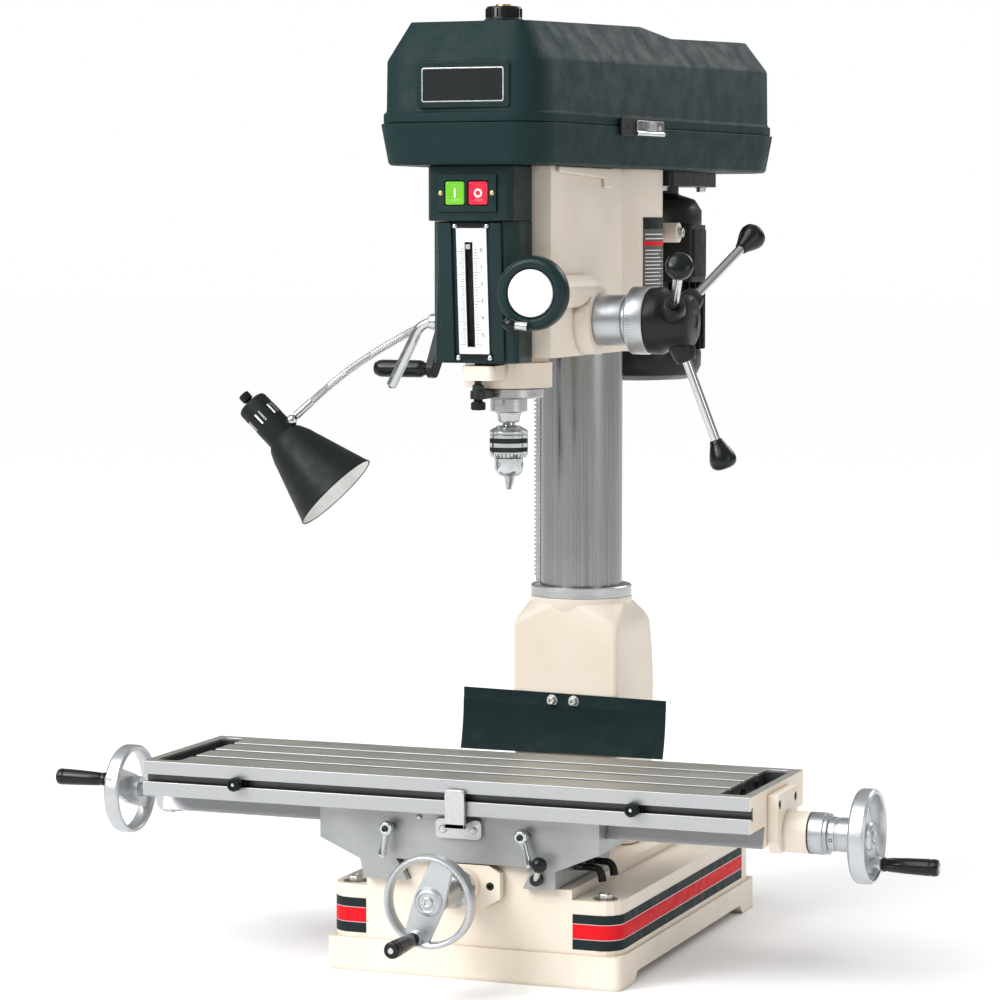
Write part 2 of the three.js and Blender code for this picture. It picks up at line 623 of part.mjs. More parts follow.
function frontCover() {
  const left = COVER_X - COVER_HALF;
  const right = COVER_X + COVER_HALF;
  const back = HEAD_FRONT - GAP;
  const side = prism([
    [back, COVER_BOTTOM], [coverFront(COVER_BOTTOM), COVER_BOTTOM],
    [coverFront(COVER_TOP), COVER_TOP], [back, COVER_TOP],
  ], 'x', left, right);
  const plan = prism([
    [left, back + 1], [left, -392], [left + 16, -412], [right - 16, -412], [right, -392], [right, back + 1],
  ], 'z', COVER_BOTTOM - 1, COVER_TOP + 1);
  const inside = prism([
    [back + 1, COVER_BOTTOM + 4], [coverFront(COVER_BOTTOM) + 7, COVER_BOTTOM + 4],
    [coverFront(COVER_TOP) + 7, COVER_TOP - 4], [back + 1, COVER_TOP - 4],
  ], 'x', left + 14, right - 14);
  let cover = cut(side.intersect(plan), inside);
  cover = cut(
    cover,
    box(DEPTH_ROD_X - 5, DEPTH_ROD_X + 5, -420, -380, 822, 968),
    rod([DEPTH_ROD_X, DEPTH_ROD_Y, COVER_BOTTOM - 1], [DEPTH_ROD_X, DEPTH_ROD_Y, COVER_BOTTOM + 6], 6, 12),
  );
  part('front_cover', cover, GREEN);
}

function scalePlate() {
  const low = 818;
  const high = 981;
  const plate = prism([
    [coverFront(low) - GAP, low], [coverFront(low) - 2.3, low],
    [coverFront(high) - 2.3, high], [coverFront(high) - GAP, high],
  ], 'x', COVER_X - 21, COVER_X + 21);
  part('scale_plate', cut(plate, box(DEPTH_ROD_X - 5, DEPTH_ROD_X + 5, -420, -380, 826, 964)), STEEL);
}

function switchBox() {
  const plan = [
    [COVER_X - COVER_HALF, HEAD_FRONT - GAP], [COVER_X - COVER_HALF, -412], [COVER_X - COVER_HALF + 6, -420],
    [COVER_X + COVER_HALF - 6, -420], [COVER_X + COVER_HALF, -412], [COVER_X + COVER_HALF, HEAD_FRONT - GAP],
  ];
  const block = prism(plan, 'z', COVER_TOP + GAP, HEAD_TOP);
  const pockets = [START_X, STOP_X].map((x) => box(x - 13.4, x + 13.4, -421, -404, 1010.6, 1041.4));
  part('switch_box', cut(block, ...pockets), GREEN);
}

function button(name, x, colour) {
  const face = prism(roundedRectangle(x - 13, x + 13, 1011, 1041, 3, 3), 'y', -424, -410);
  part(name, face, { color: colour, roughness: 0.35, metalness: 0.0 });
}

function beltTray() {
  const outer = loft([
    { points: COVER_PLAN, z: TRAY_BOTTOM },
    { points: offset(COVER_PLAN, 9), z: TRAY_TOP - 4 },
    { points: offset(COVER_PLAN, 9), z: TRAY_TOP },
  ]);
  const inside = prism(offset(COVER_PLAN, -4), 'z', TRAY_BOTTOM + 4, TRAY_TOP + 1);
  const tray = cut(
    outer,
    inside,
    rod([0, SPINDLE_Y, 1060], [0, SPINDLE_Y, 1070], 34, 32),
    rod([0, IDLER_Y, 1060], [0, IDLER_Y, 1070], 11, 24),
    rod([0, MOTOR_Y, 1060], [0, MOTOR_Y, 1070], 26, 32),
  );
  part('belt_tray', tray, GREEN);
}

// The lid rises a little to the back and steps down halfway, which the inner face follows
function lidShell(margin, top) {
  const foot = TRAY_TOP + GAP - (margin > 0 ? 1 : 0);
  const shell = loft([
    { points: offset(COVER_PLAN, 3 - margin), z: foot },
    { points: offset(COVER_PLAN, 1 - margin), z: LID_CREASE - (margin > 0 ? 1 : 0), rise: CREASE_RISE },
    { points: offset(COVER_PLAN, -30 - margin), z: top, rise: ROOF_RISE },
  ]);
  const roof = (y, drop) => [y, top - drop + ROOF_RISE * (y - COVER_FRONT)];
  const step = prism([
    roof(-62 - margin, 0), roof(40 - margin, LID_STEP), roof(500, LID_STEP), [500, top + 40], [-62 - margin, top + 40],
  ], 'x', -300, 300);
  return cut(shell, step);
}

function beltLid() {
  const foot = TRAY_TOP + GAP;
  const flange = prism(offset(COVER_PLAN, 6), 'z', foot, foot + LID_FLANGE);
  const shell = cut(add(lidShell(0, LID_TOP), flange), lidShell(4, LID_TOP - 4));
  const cap = lathe([
    [0, 0], [26, 0], [26, 8], [23, 10], [23, 26], [20, 30], [0, 31],
  ], [CAP_X, SPINDLE_Y, LID_TOP - 2], [0, 0, 1], 32);
  part('belt_lid', add(shell, cap), GREEN);
}

// The latch lies along the cover's side, which leans out to the back
function lidLatch() {
  const plate = box(0, 4, -85, 46, 1104, 1128);
  const knuckle = rod([3, -40, 1108], [3, 40, 1108], 4, 12);
  const toggle = box(3, 9, -36, 42, 1111, 1125);
  const latch = add(plate, knuckle, toggle).rotate([0, 0, -LATCH_LEAN]).translate(LATCH_AT);
  part('lid_latch', latch, CHROME);
}

// A cone pulley: one groove to each step, cut square a little wider than the belt
function pulleyProfile(steps, bore, low, high) {
  const half = BELT_WIDTH / 2 + 0.5;
  const points = [[bore, low], [steps[0] + 5, low]];
  steps.forEach((radius, i) => {
    const z = STEP_Z[i];
    points.push([radius + 5, z - half], [radius - 5, z - half], [radius - 5, z + half], [radius + 5, z + half]);
    if (i + 1 < steps.length && steps[i + 1] > radius) {
      points.push([steps[i + 1] + 5, z + half + 3]);
    }
  });
  points.push([steps[3] + 5, high], [bore, high], [bore, low]);
  return points;
}

function pulleys() {
  const low = STEP_Z[0] - 11;
  const high = STEP_Z[3] + 11;
  const spindle = lathe(pulleyProfile(SPINDLE_STEPS, 12.4, low, high), [0, SPINDLE_Y, 0], [0, 0, 1], 14);
  part('spindle_pulley', spindle, ALLOY);
  part('idler_pulley', lathe(pulleyProfile(IDLER_STEPS, 10.4, low, high), [0, IDLER_Y, 0], [0, 0, 1], 14), ALLOY);
  const motor = lathe(pulleyProfile(MOTOR_STEPS, 8, low, high), [0, MOTOR_Y, 0], [0, 0, 1], 14);
  part('motor_pulley', add(motor, rod([0, MOTOR_Y, 1001], [0, MOTOR_Y, high + 3], 9, 12)), ALLOY);
}

function belt(name, y0, r0, y1, r1, z) {
  const half = BELT_WIDTH / 2;
  const bottom = offset(capsule([0, y0], r0, [0, y1], r1, 24), 5);
  const loop = cut(
    prism(bottom, 'z', z - half, z + half),
    prism(offset(capsule([0, y0], r0, [0, y1], r1, 24), -4), 'z', z - half - 1, z + half + 1),
  );
  part(name, loop, RUBBER);
}

function belts() {
  belt(
    'front_belt', SPINDLE_Y, SPINDLE_STEPS[FRONT_BELT_STEP],
    IDLER_Y, IDLER_STEPS[FRONT_BELT_STEP], STEP_Z[FRONT_BELT_STEP],
  );
  belt(
    'rear_belt', IDLER_Y, IDLER_STEPS[REAR_BELT_STEP],
    MOTOR_Y, MOTOR_STEPS[REAR_BELT_STEP], STEP_Z[REAR_BELT_STEP],
  );
}

function motor() {
  const can = lathe([
    [0, 759], [78, 759], [100, 776], [100, 1008], [88, 1026], [60, 1034], [60, 1043], [0, 1043],
  ], [0, MOTOR_Y, 0], [0, 0, 1], 24);
  const plate = cut(
    prism(roundedRectangle(-100, 100, 100, 330, 10), 'z', 1042, HEAD_TOP),
    rod([0, 0, 1030], [0, 0, 1070], BARREL_R + 2, 40),
  );
  const terminal = box(60, 108, MOTOR_Y - 78, MOTOR_Y - 8, 905, 985);
  const body = cut(
    add(can, plate, terminal),
    rod([0, MOTOR_Y, 1000], [0, MOTOR_Y, 1063], 9.6, 12),
    rod([0, MOTOR_Y, 1030], [0, MOTOR_Y, 1063], 24, 16),
  );
  part('motor', body, BLACK);
}

function quill() {
  const tube = cut(
    rod([0, SPINDLE_Y, QUILL_NOSE], [0, SPINDLE_Y, 1000], QUILL_R, 32),
    rod([0, SPINDLE_Y, QUILL_NOSE - 1], [0, SPINDLE_Y, 1001], 20.4, 18),
  );
  part('quill', tube, STEEL);
  const ring = cut(
    rod([0, SPINDLE_Y, QUILL_NOSE], [0, SPINDLE_Y, 770], 47, 28),
    rod([0, SPINDLE_Y, QUILL_NOSE - 1], [0, SPINDLE_Y, 771], QUILL_R + GAP, 32),
  );
  const arm = prism(capsule([-14, -336], 14, [DEPTH_ROD_X, DEPTH_ROD_Y], 10), 'z', QUILL_NOSE + 2, 769);
  const clear = rod([0, SPINDLE_Y, QUILL_NOSE - 1], [0, SPINDLE_Y, 771], QUILL_R + GAP, 32);
  const upright = rod([DEPTH_ROD_X, DEPTH_ROD_Y, 752], [DEPTH_ROD_X, DEPTH_ROD_Y, 966], 4.6, 16);
  const nut = rod([DEPTH_ROD_X, DEPTH_ROD_Y, 744], [DEPTH_ROD_X, DEPTH_ROD_Y, QUILL_NOSE + 3], 10, 6);
  const pointer = box(DEPTH_ROD_X - 3, DEPTH_ROD_X + 3, -414, DEPTH_ROD_Y, 954, 960);
  part('depth_stop', add(ring, cut(arm, clear), upright, nut, pointer), STEEL);
}

function spindle() {
  const shaft = lathe([
    [0, 724], [13, 724], [14.5, 727], [14.5, 736], [19, 736], [19, QUILL_NOSE - 1],
    [20, QUILL_NOSE], [20, 998], [12, 998], [12, 1216], [0, 1216],
  ], [0, SPINDLE_Y, 0], [0, 0, 1], 18);
  part('spindle', cut(shaft, rod([0, SPINDLE_Y, 720], [0, SPINDLE_Y, 765], 7.8, 20)), STEEL);
}

function chuck() {
  const body = lathe([
    [0, 634], [3.5, 634], [7.5, 655], [15.5, 655], [17.5, 660], [17.5, 708], [25, 708], [25, 713],
    [17, 718], [7.5, 718], [7.5, 760], [0, 760],
  ], [0, SPINDLE_Y, 0], [0, 0, 1], 20);
  let jaws = body;
  for (let i = 0; i < 3; i += 1) {
    const slit = box(2, 9, -0.6, 0.6, 630, 654.5).rotate([0, 0, 120 * i + 70]).translate([0, SPINDLE_Y, 0]);
    jaws = cut(jaws, slit);
  }
  part('chuck_body', jaws, STEEL);
  let sleeve = lathe([
    [17.9, 677], [23, 677], [25.4, 680], [25.4, 688], [24.2, 691], [25.4, 694], [25.4, 707.6],
    [17.9, 707.6], [17.9, 677],
  ], [0, SPINDLE_Y, 0], [0, 0, 1], 20);
  for (let i = 0; i < 10; i += 1) {
    const notch = box(19, 27, -1.6, 1.6, 675, 680).rotate([0, 0, 36 * i]).translate([0, SPINDLE_Y, 0]);
    sleeve = cut(sleeve, notch);
  }
  part('chuck_sleeve', sleeve, STEEL);
}

function feedHub() {
  const dial = lathe([
    [0, 107 + GAP], [34, 107 + GAP], [34, 146], [31, 147], [31, 152], [45, 154], [45, 179], [0, 179],
  ], [0, FEED_Y, FEED_Z], [1, 0, 0], 28);
  const shaft = rod([46, FEED_Y, FEED_Z], [110, FEED_Y, FEED_Z], 14, 16);
  part('feed_dial', add(dial, shaft), ALLOY);
  const hub = lathe([
    [0, 179 + GAP], [43, 179 + GAP], [44, 186], [44, 198], [38, 226], [34, 240], [0, 240],
  ], [0, FEED_Y, FEED_Z], [1, 0, 0], 24);
  const sockets = [0, 1, 2].map((i) => {
    const [root, tip] = spokeEnds(i);
    const from = root.clone().lerp(tip, 0.1);
    const to = root.clone().lerp(tip, 0.3);
    return rod(from.toArray(), to.toArray(), 17, 10, 12);
  });
  const bores = [0, 1, 2].map((i) => {
    const [root, tip] = spokeEnds(i);
    return rod(root.clone().lerp(tip, 0.18).toArray(), tip.toArray(), 6.9, 10);
  });
  part('feed_hub', cut(add(hub, ...sockets), ...bores), BLACK);
}

function spokeEnds(i) {
  const angle = ((156.5 - 120 * i) * TAU) / 360;
  const root = new THREE.Vector3(SPOKE_ROOT_X, FEED_Y, FEED_Z);
  const tip = new THREE.Vector3(
    SPOKE_TIP_X, FEED_Y + SPOKE_REACH * Math.cos(angle), FEED_Z + SPOKE_REACH * Math.sin(angle),
  );
  return [root, tip];
}

function feedSpokes() {
  for (let i = 0; i < 3; i += 1) {
    const [root, tip] = spokeEnds(i);
    const bar = rod(root.clone().lerp(tip, 0.185).toArray(), tip.toArray(), 6.4, 10);
    const direction = tip.clone().sub(root).normalize();
    const knob = lathe([
      [0, -22], [9, -22], [13, -14], [17.5, 0], [18, 7], [15, 14], [7, 18], [0, 18],
    ], tip.toArray(), direction.toArray(), 14);
    part(`feed_spoke_${i + 1}`, add(bar, knob), CHROME);
  }
}

function fineWheel() {
  const wheel = lathe([
    [0, 0], [18, 0], [24, 6], [44, 8], [47, 12], [47, 25], [44, 28], [38, 28], [38, 26], [0, 26],
  ], [FINE_X, FINE_Y, FINE_Z], [0, -1, 0], 24);
  const shaft = rod([FINE_X, -302, FINE_Z], [FINE_X, FINE_Y - 2, FINE_Z], 8, 12);
  const grip = [FINE_X - 25, FINE_Z - 33];
  const front = FINE_Y - 26;
  const post = rod([grip[0], front + 5, grip[1]], [grip[0], front - 8, grip[1]], 5, 12);
  const knob = rod([grip[0] + 4, front - 8, grip[1]], [grip[0] - 18, front - 12, grip[1] + 2], 6.5, 12, 5);
  part('fine_wheel', add(wheel, shaft, post, knob), GREEN);
}

function liftCrank() {
  const pivot = [-150, 850];
  const end = [-200, 789];
  const arm = prism(capsule(pivot, 16, end, 12), 'x', -152, -140);
  const shaft = rod([-94, ...pivot], [-142, ...pivot], 9, 12);
  const pin = rod([-151, ...end], [-232, ...end], 4, 12);
  part('lift_crank', add(arm, shaft, pin), BLACK);
  const grip = lathe([
    [4.3, 0], [8, 0], [12, 6], [12, 66], [9, 76], [4.3, 76], [4.3, 0],
  ], [-154, ...end], [-1, 0, 0], 14);
  part('lift_grip', grip, BLACK);
}

function quillLock() {
  const path = [[-84, -330, 857], [-98, -330, 856], [-112, -330, 848], [-122, -330, 830], [-152, -330, 772]];
  const lever = sweep(path, 6.4, 10, 8);
  const hub = rod([-HEAD_HALF - GAP, -330, 857], [-97, -330, 857], 11, 24);
  part('quill_lock', add(cut(lever, box(-HEAD_HALF - GAP, -70, -345, -315, 840, 875)), hub), CHROME);
}

function lampFrame() {
  return { rim: new THREE.Vector3(...LAMP_RIM), axis: new THREE.Vector3(...LAMP_AXIS).normalize() };
}

function lampNeck() {
  const { rim, axis } = lampFrame();
  const side = new THREE.Vector3(0.7, 0, 0.7).normalize();
  const end = rim.clone().addScaledVector(axis, -112).addScaledVector(side, 33.6);
  const path = [
    [-92, LAMP_Y, 861], [-107, LAMP_Y, 856], [-132, LAMP_Y, 845], [-155, LAMP_Y, 833], [-189, LAMP_Y, 814],
    [-228, LAMP_Y, 789], [-262, LAMP_Y, 763], end.toArray(),
  ];
  const neck = sweep(path, 5, 14, 8);
  const seat = rod([-HEAD_HALF - GAP, LAMP_Y, 862], [-97, LAMP_Y, 862], 13, 20, 9);
  part('lamp_neck', add(neck, seat), CHROME);
}

function lampHead() {
  const { rim, axis } = lampFrame();
  const at = rim.toArray();
  const direction = axis.toArray();
  const shell = lathe([
    [0, -170], [19, -170], [22, -166], [22, -104], [34, -84], [61, -1], [61, 0], [58.5, 0], [32, -80],
    [18, -98], [18, -120], [0, -120],
  ], at, direction, 24);
  const side = new THREE.Vector3(0.7, 0, 0.7).normalize();
  const lugFrom = rim.clone().addScaledVector(axis, -112).addScaledVector(side, 19);
  const joint = rim.clone().addScaledVector(axis, -112).addScaledVector(side, 25);
  const stem = rod(lugFrom.toArray(), joint.toArray(), 5, 12);
  part('lamp_shade', add(shell, stem, ball(joint.toArray(), 8, 12)), BLACK);
  const bulb = lathe([
    [0, -119], [12, -119], [13, -96], [22, -72], [27, -54], [24, -36], [13, -25], [0, -22],
  ], at, direction, 16);
  part('lamp_bulb', bulb, { color: 0xf4f2ea, roughness: 0.2, metalness: 0.0 });
  const knob = lathe([[0, -186], [7, -186], [8, -184], [8, -174], [5, -173], [5, -170.3], [0, -170.3]], at, direction, 12);
  part('lamp_switch', knob, BLACK);
}

baseCasting();
pedestal();
column();
columnRack();
chipGuard();
crossBracket();
saddle();
tableLock('table_lock_left', CROSS_X - 102, -6);
tableLock('table_lock_right', CROSS_X + 86, 10);
saddleLocks();
ballLever();
table();
stopDog('stop_dog_left', -315);
stopDog('stop_dog_right', 239);
endBracket('left_bracket', TABLE_LEFT - GAP, 28);
endBracket('right_bracket', TABLE_RIGHT + GAP, 45);
longFeed();
crossFeed();
headCasting();
frontCover();
scalePlate();
switchBox();
button('start_button', START_X, 0x3fae2a);
button('stop_button', STOP_X, 0xd3182b);
beltTray();
beltLid();
lidLatch();
pulleys();
belts();
motor();
quill();
spindle();
chuck();
feedHub();
feedSpokes();
fineWheel();
liftCrank();
quillLock();
lampNeck();
lampHead();

export default group;
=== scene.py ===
"""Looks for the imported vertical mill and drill: smooth pieces and procedural finishes on the CAD frame.

Shapes are written in millimetres in the row frame and made in metres. The front faces -Y, up is +Z.
"""

import json
import math

import bmesh
import bpy
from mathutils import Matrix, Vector


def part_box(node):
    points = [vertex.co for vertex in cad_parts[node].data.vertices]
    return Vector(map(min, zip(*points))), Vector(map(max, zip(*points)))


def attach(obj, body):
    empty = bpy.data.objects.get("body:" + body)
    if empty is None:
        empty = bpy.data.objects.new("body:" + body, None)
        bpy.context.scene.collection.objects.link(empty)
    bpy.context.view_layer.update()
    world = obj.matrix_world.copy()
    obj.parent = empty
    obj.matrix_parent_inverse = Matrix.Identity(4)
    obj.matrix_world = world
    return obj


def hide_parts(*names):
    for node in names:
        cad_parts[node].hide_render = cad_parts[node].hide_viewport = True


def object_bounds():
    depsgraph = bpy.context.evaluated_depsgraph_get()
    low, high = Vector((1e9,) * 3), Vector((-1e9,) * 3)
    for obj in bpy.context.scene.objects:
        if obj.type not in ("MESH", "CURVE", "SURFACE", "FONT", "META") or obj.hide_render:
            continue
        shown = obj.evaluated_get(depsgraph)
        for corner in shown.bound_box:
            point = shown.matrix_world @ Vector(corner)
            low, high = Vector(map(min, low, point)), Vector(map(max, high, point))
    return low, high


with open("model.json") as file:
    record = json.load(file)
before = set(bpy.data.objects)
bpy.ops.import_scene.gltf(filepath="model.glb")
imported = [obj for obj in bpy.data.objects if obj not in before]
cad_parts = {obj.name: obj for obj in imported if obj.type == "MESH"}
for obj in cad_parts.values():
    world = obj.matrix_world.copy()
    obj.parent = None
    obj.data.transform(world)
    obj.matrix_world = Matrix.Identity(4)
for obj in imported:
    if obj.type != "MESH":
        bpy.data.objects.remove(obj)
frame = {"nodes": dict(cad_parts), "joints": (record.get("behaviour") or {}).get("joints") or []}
CAD_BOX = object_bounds()

MM = 0.001
TAU = 2 * math.pi
RIGHT, LEFT, FRONT = (1, 0, 0), (-1, 0, 0), (0, -1, 0)
UP, DOWN = (0, 0, 1), (0, 0, -1)
JOINTS = {joint["name"]: joint for joint in frame["joints"]}


def add_camera():
    camera = bpy.data.objects.new("camera", bpy.data.cameras.new("camera"))
    camera.data.lens = 122.5
    camera.data.sensor_width = 36
    camera.data.clip_end = 50
    camera.location = (1.6017, -4.517, 0.9781)
    camera.rotation_euler = (math.radians(85.47), 0, math.radians(20.9))
    bpy.context.scene.collection.objects.link(camera)
    bpy.context.scene.camera = camera


add_camera()


# Places, from the frame


def span(node):
    low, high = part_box(node)
    return low / MM, high / MM


def pivot(joint):
    return Vector(JOINTS[joint]["pos_m"]) / MM


def at(place, x=0, y=0, z=0):
    return Vector(place) + Vector((x, y, z))


# Finishes


class Finish:
    """A principled material whose colour, roughness and bump come from noise in object space."""

    def __init__(self, name, rough, metal=0.0):
        self.material = bpy.data.materials.new(name)
        self.material.use_nodes = True
        self.nodes = self.material.node_tree.nodes
        self.links = self.material.node_tree.links
        self.shader = self.nodes["Principled BSDF"]
        self.shader.inputs["Metallic"].default_value = metal
        self.shader.inputs["Roughness"].default_value = rough
        self.place = self.nodes.new("ShaderNodeTexCoord").outputs["Object"]

    def scaled(self, scale):
        mapping = self.nodes.new("ShaderNodeMapping")
        mapping.inputs["Scale"].default_value = scale
        self.links.new(self.place, mapping.inputs["Vector"])
        return mapping.outputs["Vector"]

    def noise(self, scale, detail=3.0, stretch=(1, 1, 1)):
        texture = self.nodes.new("ShaderNodeTexNoise")
        texture.inputs["Scale"].default_value = scale
        texture.inputs["Detail"].default_value = detail
        self.links.new(self.scaled(stretch), texture.inputs["Vector"])
        return texture.outputs["Fac"]

    def ramp(self, value, low, high, to_low=0.0, to_high=1.0):
        node = self.nodes.new("ShaderNodeMapRange")
        for socket, number in (("From Min", low), ("From Max", high), ("To Min", to_low), ("To Max", to_high)):
            node.inputs[socket].default_value = number
        self.links.new(value, node.inputs["Value"])
        return node.outputs["Result"]

    def mix(self, share, first, second):
        node = self.nodes.new("ShaderNodeMix")
        node.data_type = "RGBA"
        self.links.new(share, node.inputs[0])
        for socket, colour in ((node.inputs[6], first), (node.inputs[7], second)):
            if isinstance(colour, tuple):
                socket.default_value = (*colour, 1)
            else:
                self.links.new(colour, socket)
        return node.outputs[2]

    def maths(self, how, first, second):
        node = self.nodes.new("ShaderNodeMath")
        node.operation = how
        for socket, value in zip(node.inputs, (first, second)):
            if isinstance(value, (int, float)):
                socket.default_value = value
            else:
                self.links.new(value, socket)
        return node.outputs["Value"]

    def colour(self, value):
        self.links.new(value, self.shader.inputs["Base Color"])

    def rough(self, value):
        self.links.new(value, self.shader.inputs["Roughness"])

    def bump(self, height, strength, distance):
        node = self.nodes.new("ShaderNodeBump")
        node.inputs["Strength"].default_value = strength
        node.inputs["Distance"].default_value = distance
        self.links.new(height, node.inputs["Height"])
        normal = self.shader.inputs["Normal"]
        if normal.is_linked:
            self.links.new(normal.links[0].from_socket, node.inputs["Normal"])
        self.links.new(node.outputs["Normal"], normal)

    # Painted shade: an ambient occlusion mask, 1 in corners and crevices, where a colour is darkened as if shaded.
    def crevice(self, reach):
        node = self.nodes.new("ShaderNodeAmbientOcclusion")
        node.samples = 4
        node.inputs["Distance"].default_value = reach
        return self.ramp(node.outputs["AO"], 0.15, 0.75, 1.0, 0.0)


def enamel(name, colour, shade, corner_shade_colour, rough=0.38, gloss=0.5):
    """Paint on a casting: a little uneven underneath, with painted shade darkening its corners."""
    made = Finish(name, rough)
    patches = made.mix(made.ramp(made.noise(9.0), 0.35, 0.7), colour, shade)
    speckle = made.mix(made.ramp(made.noise(900.0, 2.0), 0.62, 0.75, 0.0, 0.35), patches, shade)
    # Painted shade: in corners and crevices the colour darkens towards the fourth colour.
    made.colour(made.mix(made.crevice(0.012), speckle, corner_shade_colour))
    made.rough(made.ramp(made.noise(60.0), 0.3, 0.7, rough - 0.07, rough + 0.1))
    made.bump(made.noise(45.0, 4.0), 0.25, 0.0012)
    made.bump(made.noise(420.0, 2.0), 0.4, 0.0003)
    made.shader.inputs["Specular IOR Level"].default_value = gloss
    made.shader.inputs["Coat Weight"].default_value = gloss * 0.5
    made.shader.inputs["Coat Roughness"].default_value = 0.18
    return made.material


def textured(name, colour, pale, rough):
    """Wrinkle-finish paint: fine pebbles with paler tops and a few rubbed marks."""
    made = Finish(name, rough)
    pebbles = made.noise(520.0, 3.0)
    base = made.mix(made.ramp(pebbles, 0.5, 0.72, 0.0, 0.6), colour, pale)
    rubbed = made.ramp(made.noise(26.0, 5.0, (1, 1, 3)), 0.66, 0.78, 0.0, 0.07)
    made.colour(made.mix(rubbed, base, pale))
    made.rough(made.ramp(made.noise(35.0), 0.3, 0.7, rough - 0.06, rough + 0.12))
    made.shader.inputs["Specular IOR Level"].default_value = 0.12
    made.bump(pebbles, 0.55, 0.0006)
    made.bump(made.noise(14.0, 2.0), 0.12, 0.003)
    return made.material


def metal(name, colour, dark, rough, stretch, marks=0.25, stain=18.0, strength=0.12):
    """Ground, brushed or turned metal: marks run across the long sides of stretch."""
    made = Finish(name, rough, 1.0)
    lines = made.noise(1.0, 4.0, stretch)
    blotch = made.ramp(made.noise(stain, 4.0), 0.45, 0.8)
    streaks = made.ramp(lines, 0.35, 0.68)
    tone = made.maths("MULTIPLY", made.maths("ADD", streaks, blotch), marks)
    made.colour(made.mix(tone, colour, dark))
    made.rough(made.ramp(lines, 0.3, 0.7, max(rough - 0.08, 0.03), rough + 0.12))
    made.bump(lines, strength, 0.0004)
    return made.material


def iron(name, colour, dark, rough, scrape):
    """Machined cast iron: pores, cutter marks along X and dull oily patches."""
    made = Finish(name, rough, 0.75)
    cutter = made.noise(1.0, 4.0, scrape)
    pores = made.ramp(made.noise(1300.0, 2.0), 0.6, 0.72)
    patches = made.ramp(made.noise(11.0, 5.0), 0.4, 0.75, 0.0, 0.6)
    tone = made.mix(patches, colour, dark)
    tone = made.mix(made.maths("MULTIPLY", pores, 0.45), tone, dark)
    # Painted shade: the colour darkens to near black in corners and crevices.
    made.colour(made.mix(made.crevice(0.012), tone, tuple(c * 0.25 for c in dark)))
    made.rough(made.ramp(cutter, 0.3, 0.7, rough - 0.1, rough + 0.12))
    made.bump(cutter, 0.2, 0.0004)
    made.bump(made.noise(700.0, 2.0), 0.25, 0.0002)
    return made.material


def plastic(name, colour, rough, grain=240.0, strength=0.06, gloss=0.5):
    """Moulded plastic with a faint skin and fingermarks in its gloss."""
    made = Finish(name, rough)
    pale = tuple(c * 1.3 for c in colour)
    made.colour(made.mix(made.ramp(made.noise(30.0), 0.4, 0.7, 0.0, 0.5), colour, pale))
    made.rough(made.ramp(made.noise(55.0, 4.0), 0.35, 0.65, max(rough - 0.06, 0.04), rough + 0.1))
    made.shader.inputs["Specular IOR Level"].default_value = gloss
    made.bump(made.noise(grain, 2.0), strength, 0.0004)
    return made.material


def rubber_sheet():
    made = Finish("guard_rubber", 0.62)
    dust = made.ramp(made.noise(16.0, 5.0), 0.45, 0.75, 0.0, 0.55)
    made.colour(made.mix(dust, (0.006, 0.017, 0.018), (0.014, 0.03, 0.031)))
    made.rough(made.ramp(made.noise(40.0), 0.3, 0.7, 0.5, 0.72))
    made.bump(made.noise(650.0, 2.0), 0.3, 0.0003)
    made.bump(made.noise(20.0, 2.0), 0.2, 0.002)
    made.shader.inputs["Specular IOR Level"].default_value = 0.12
    return made.material


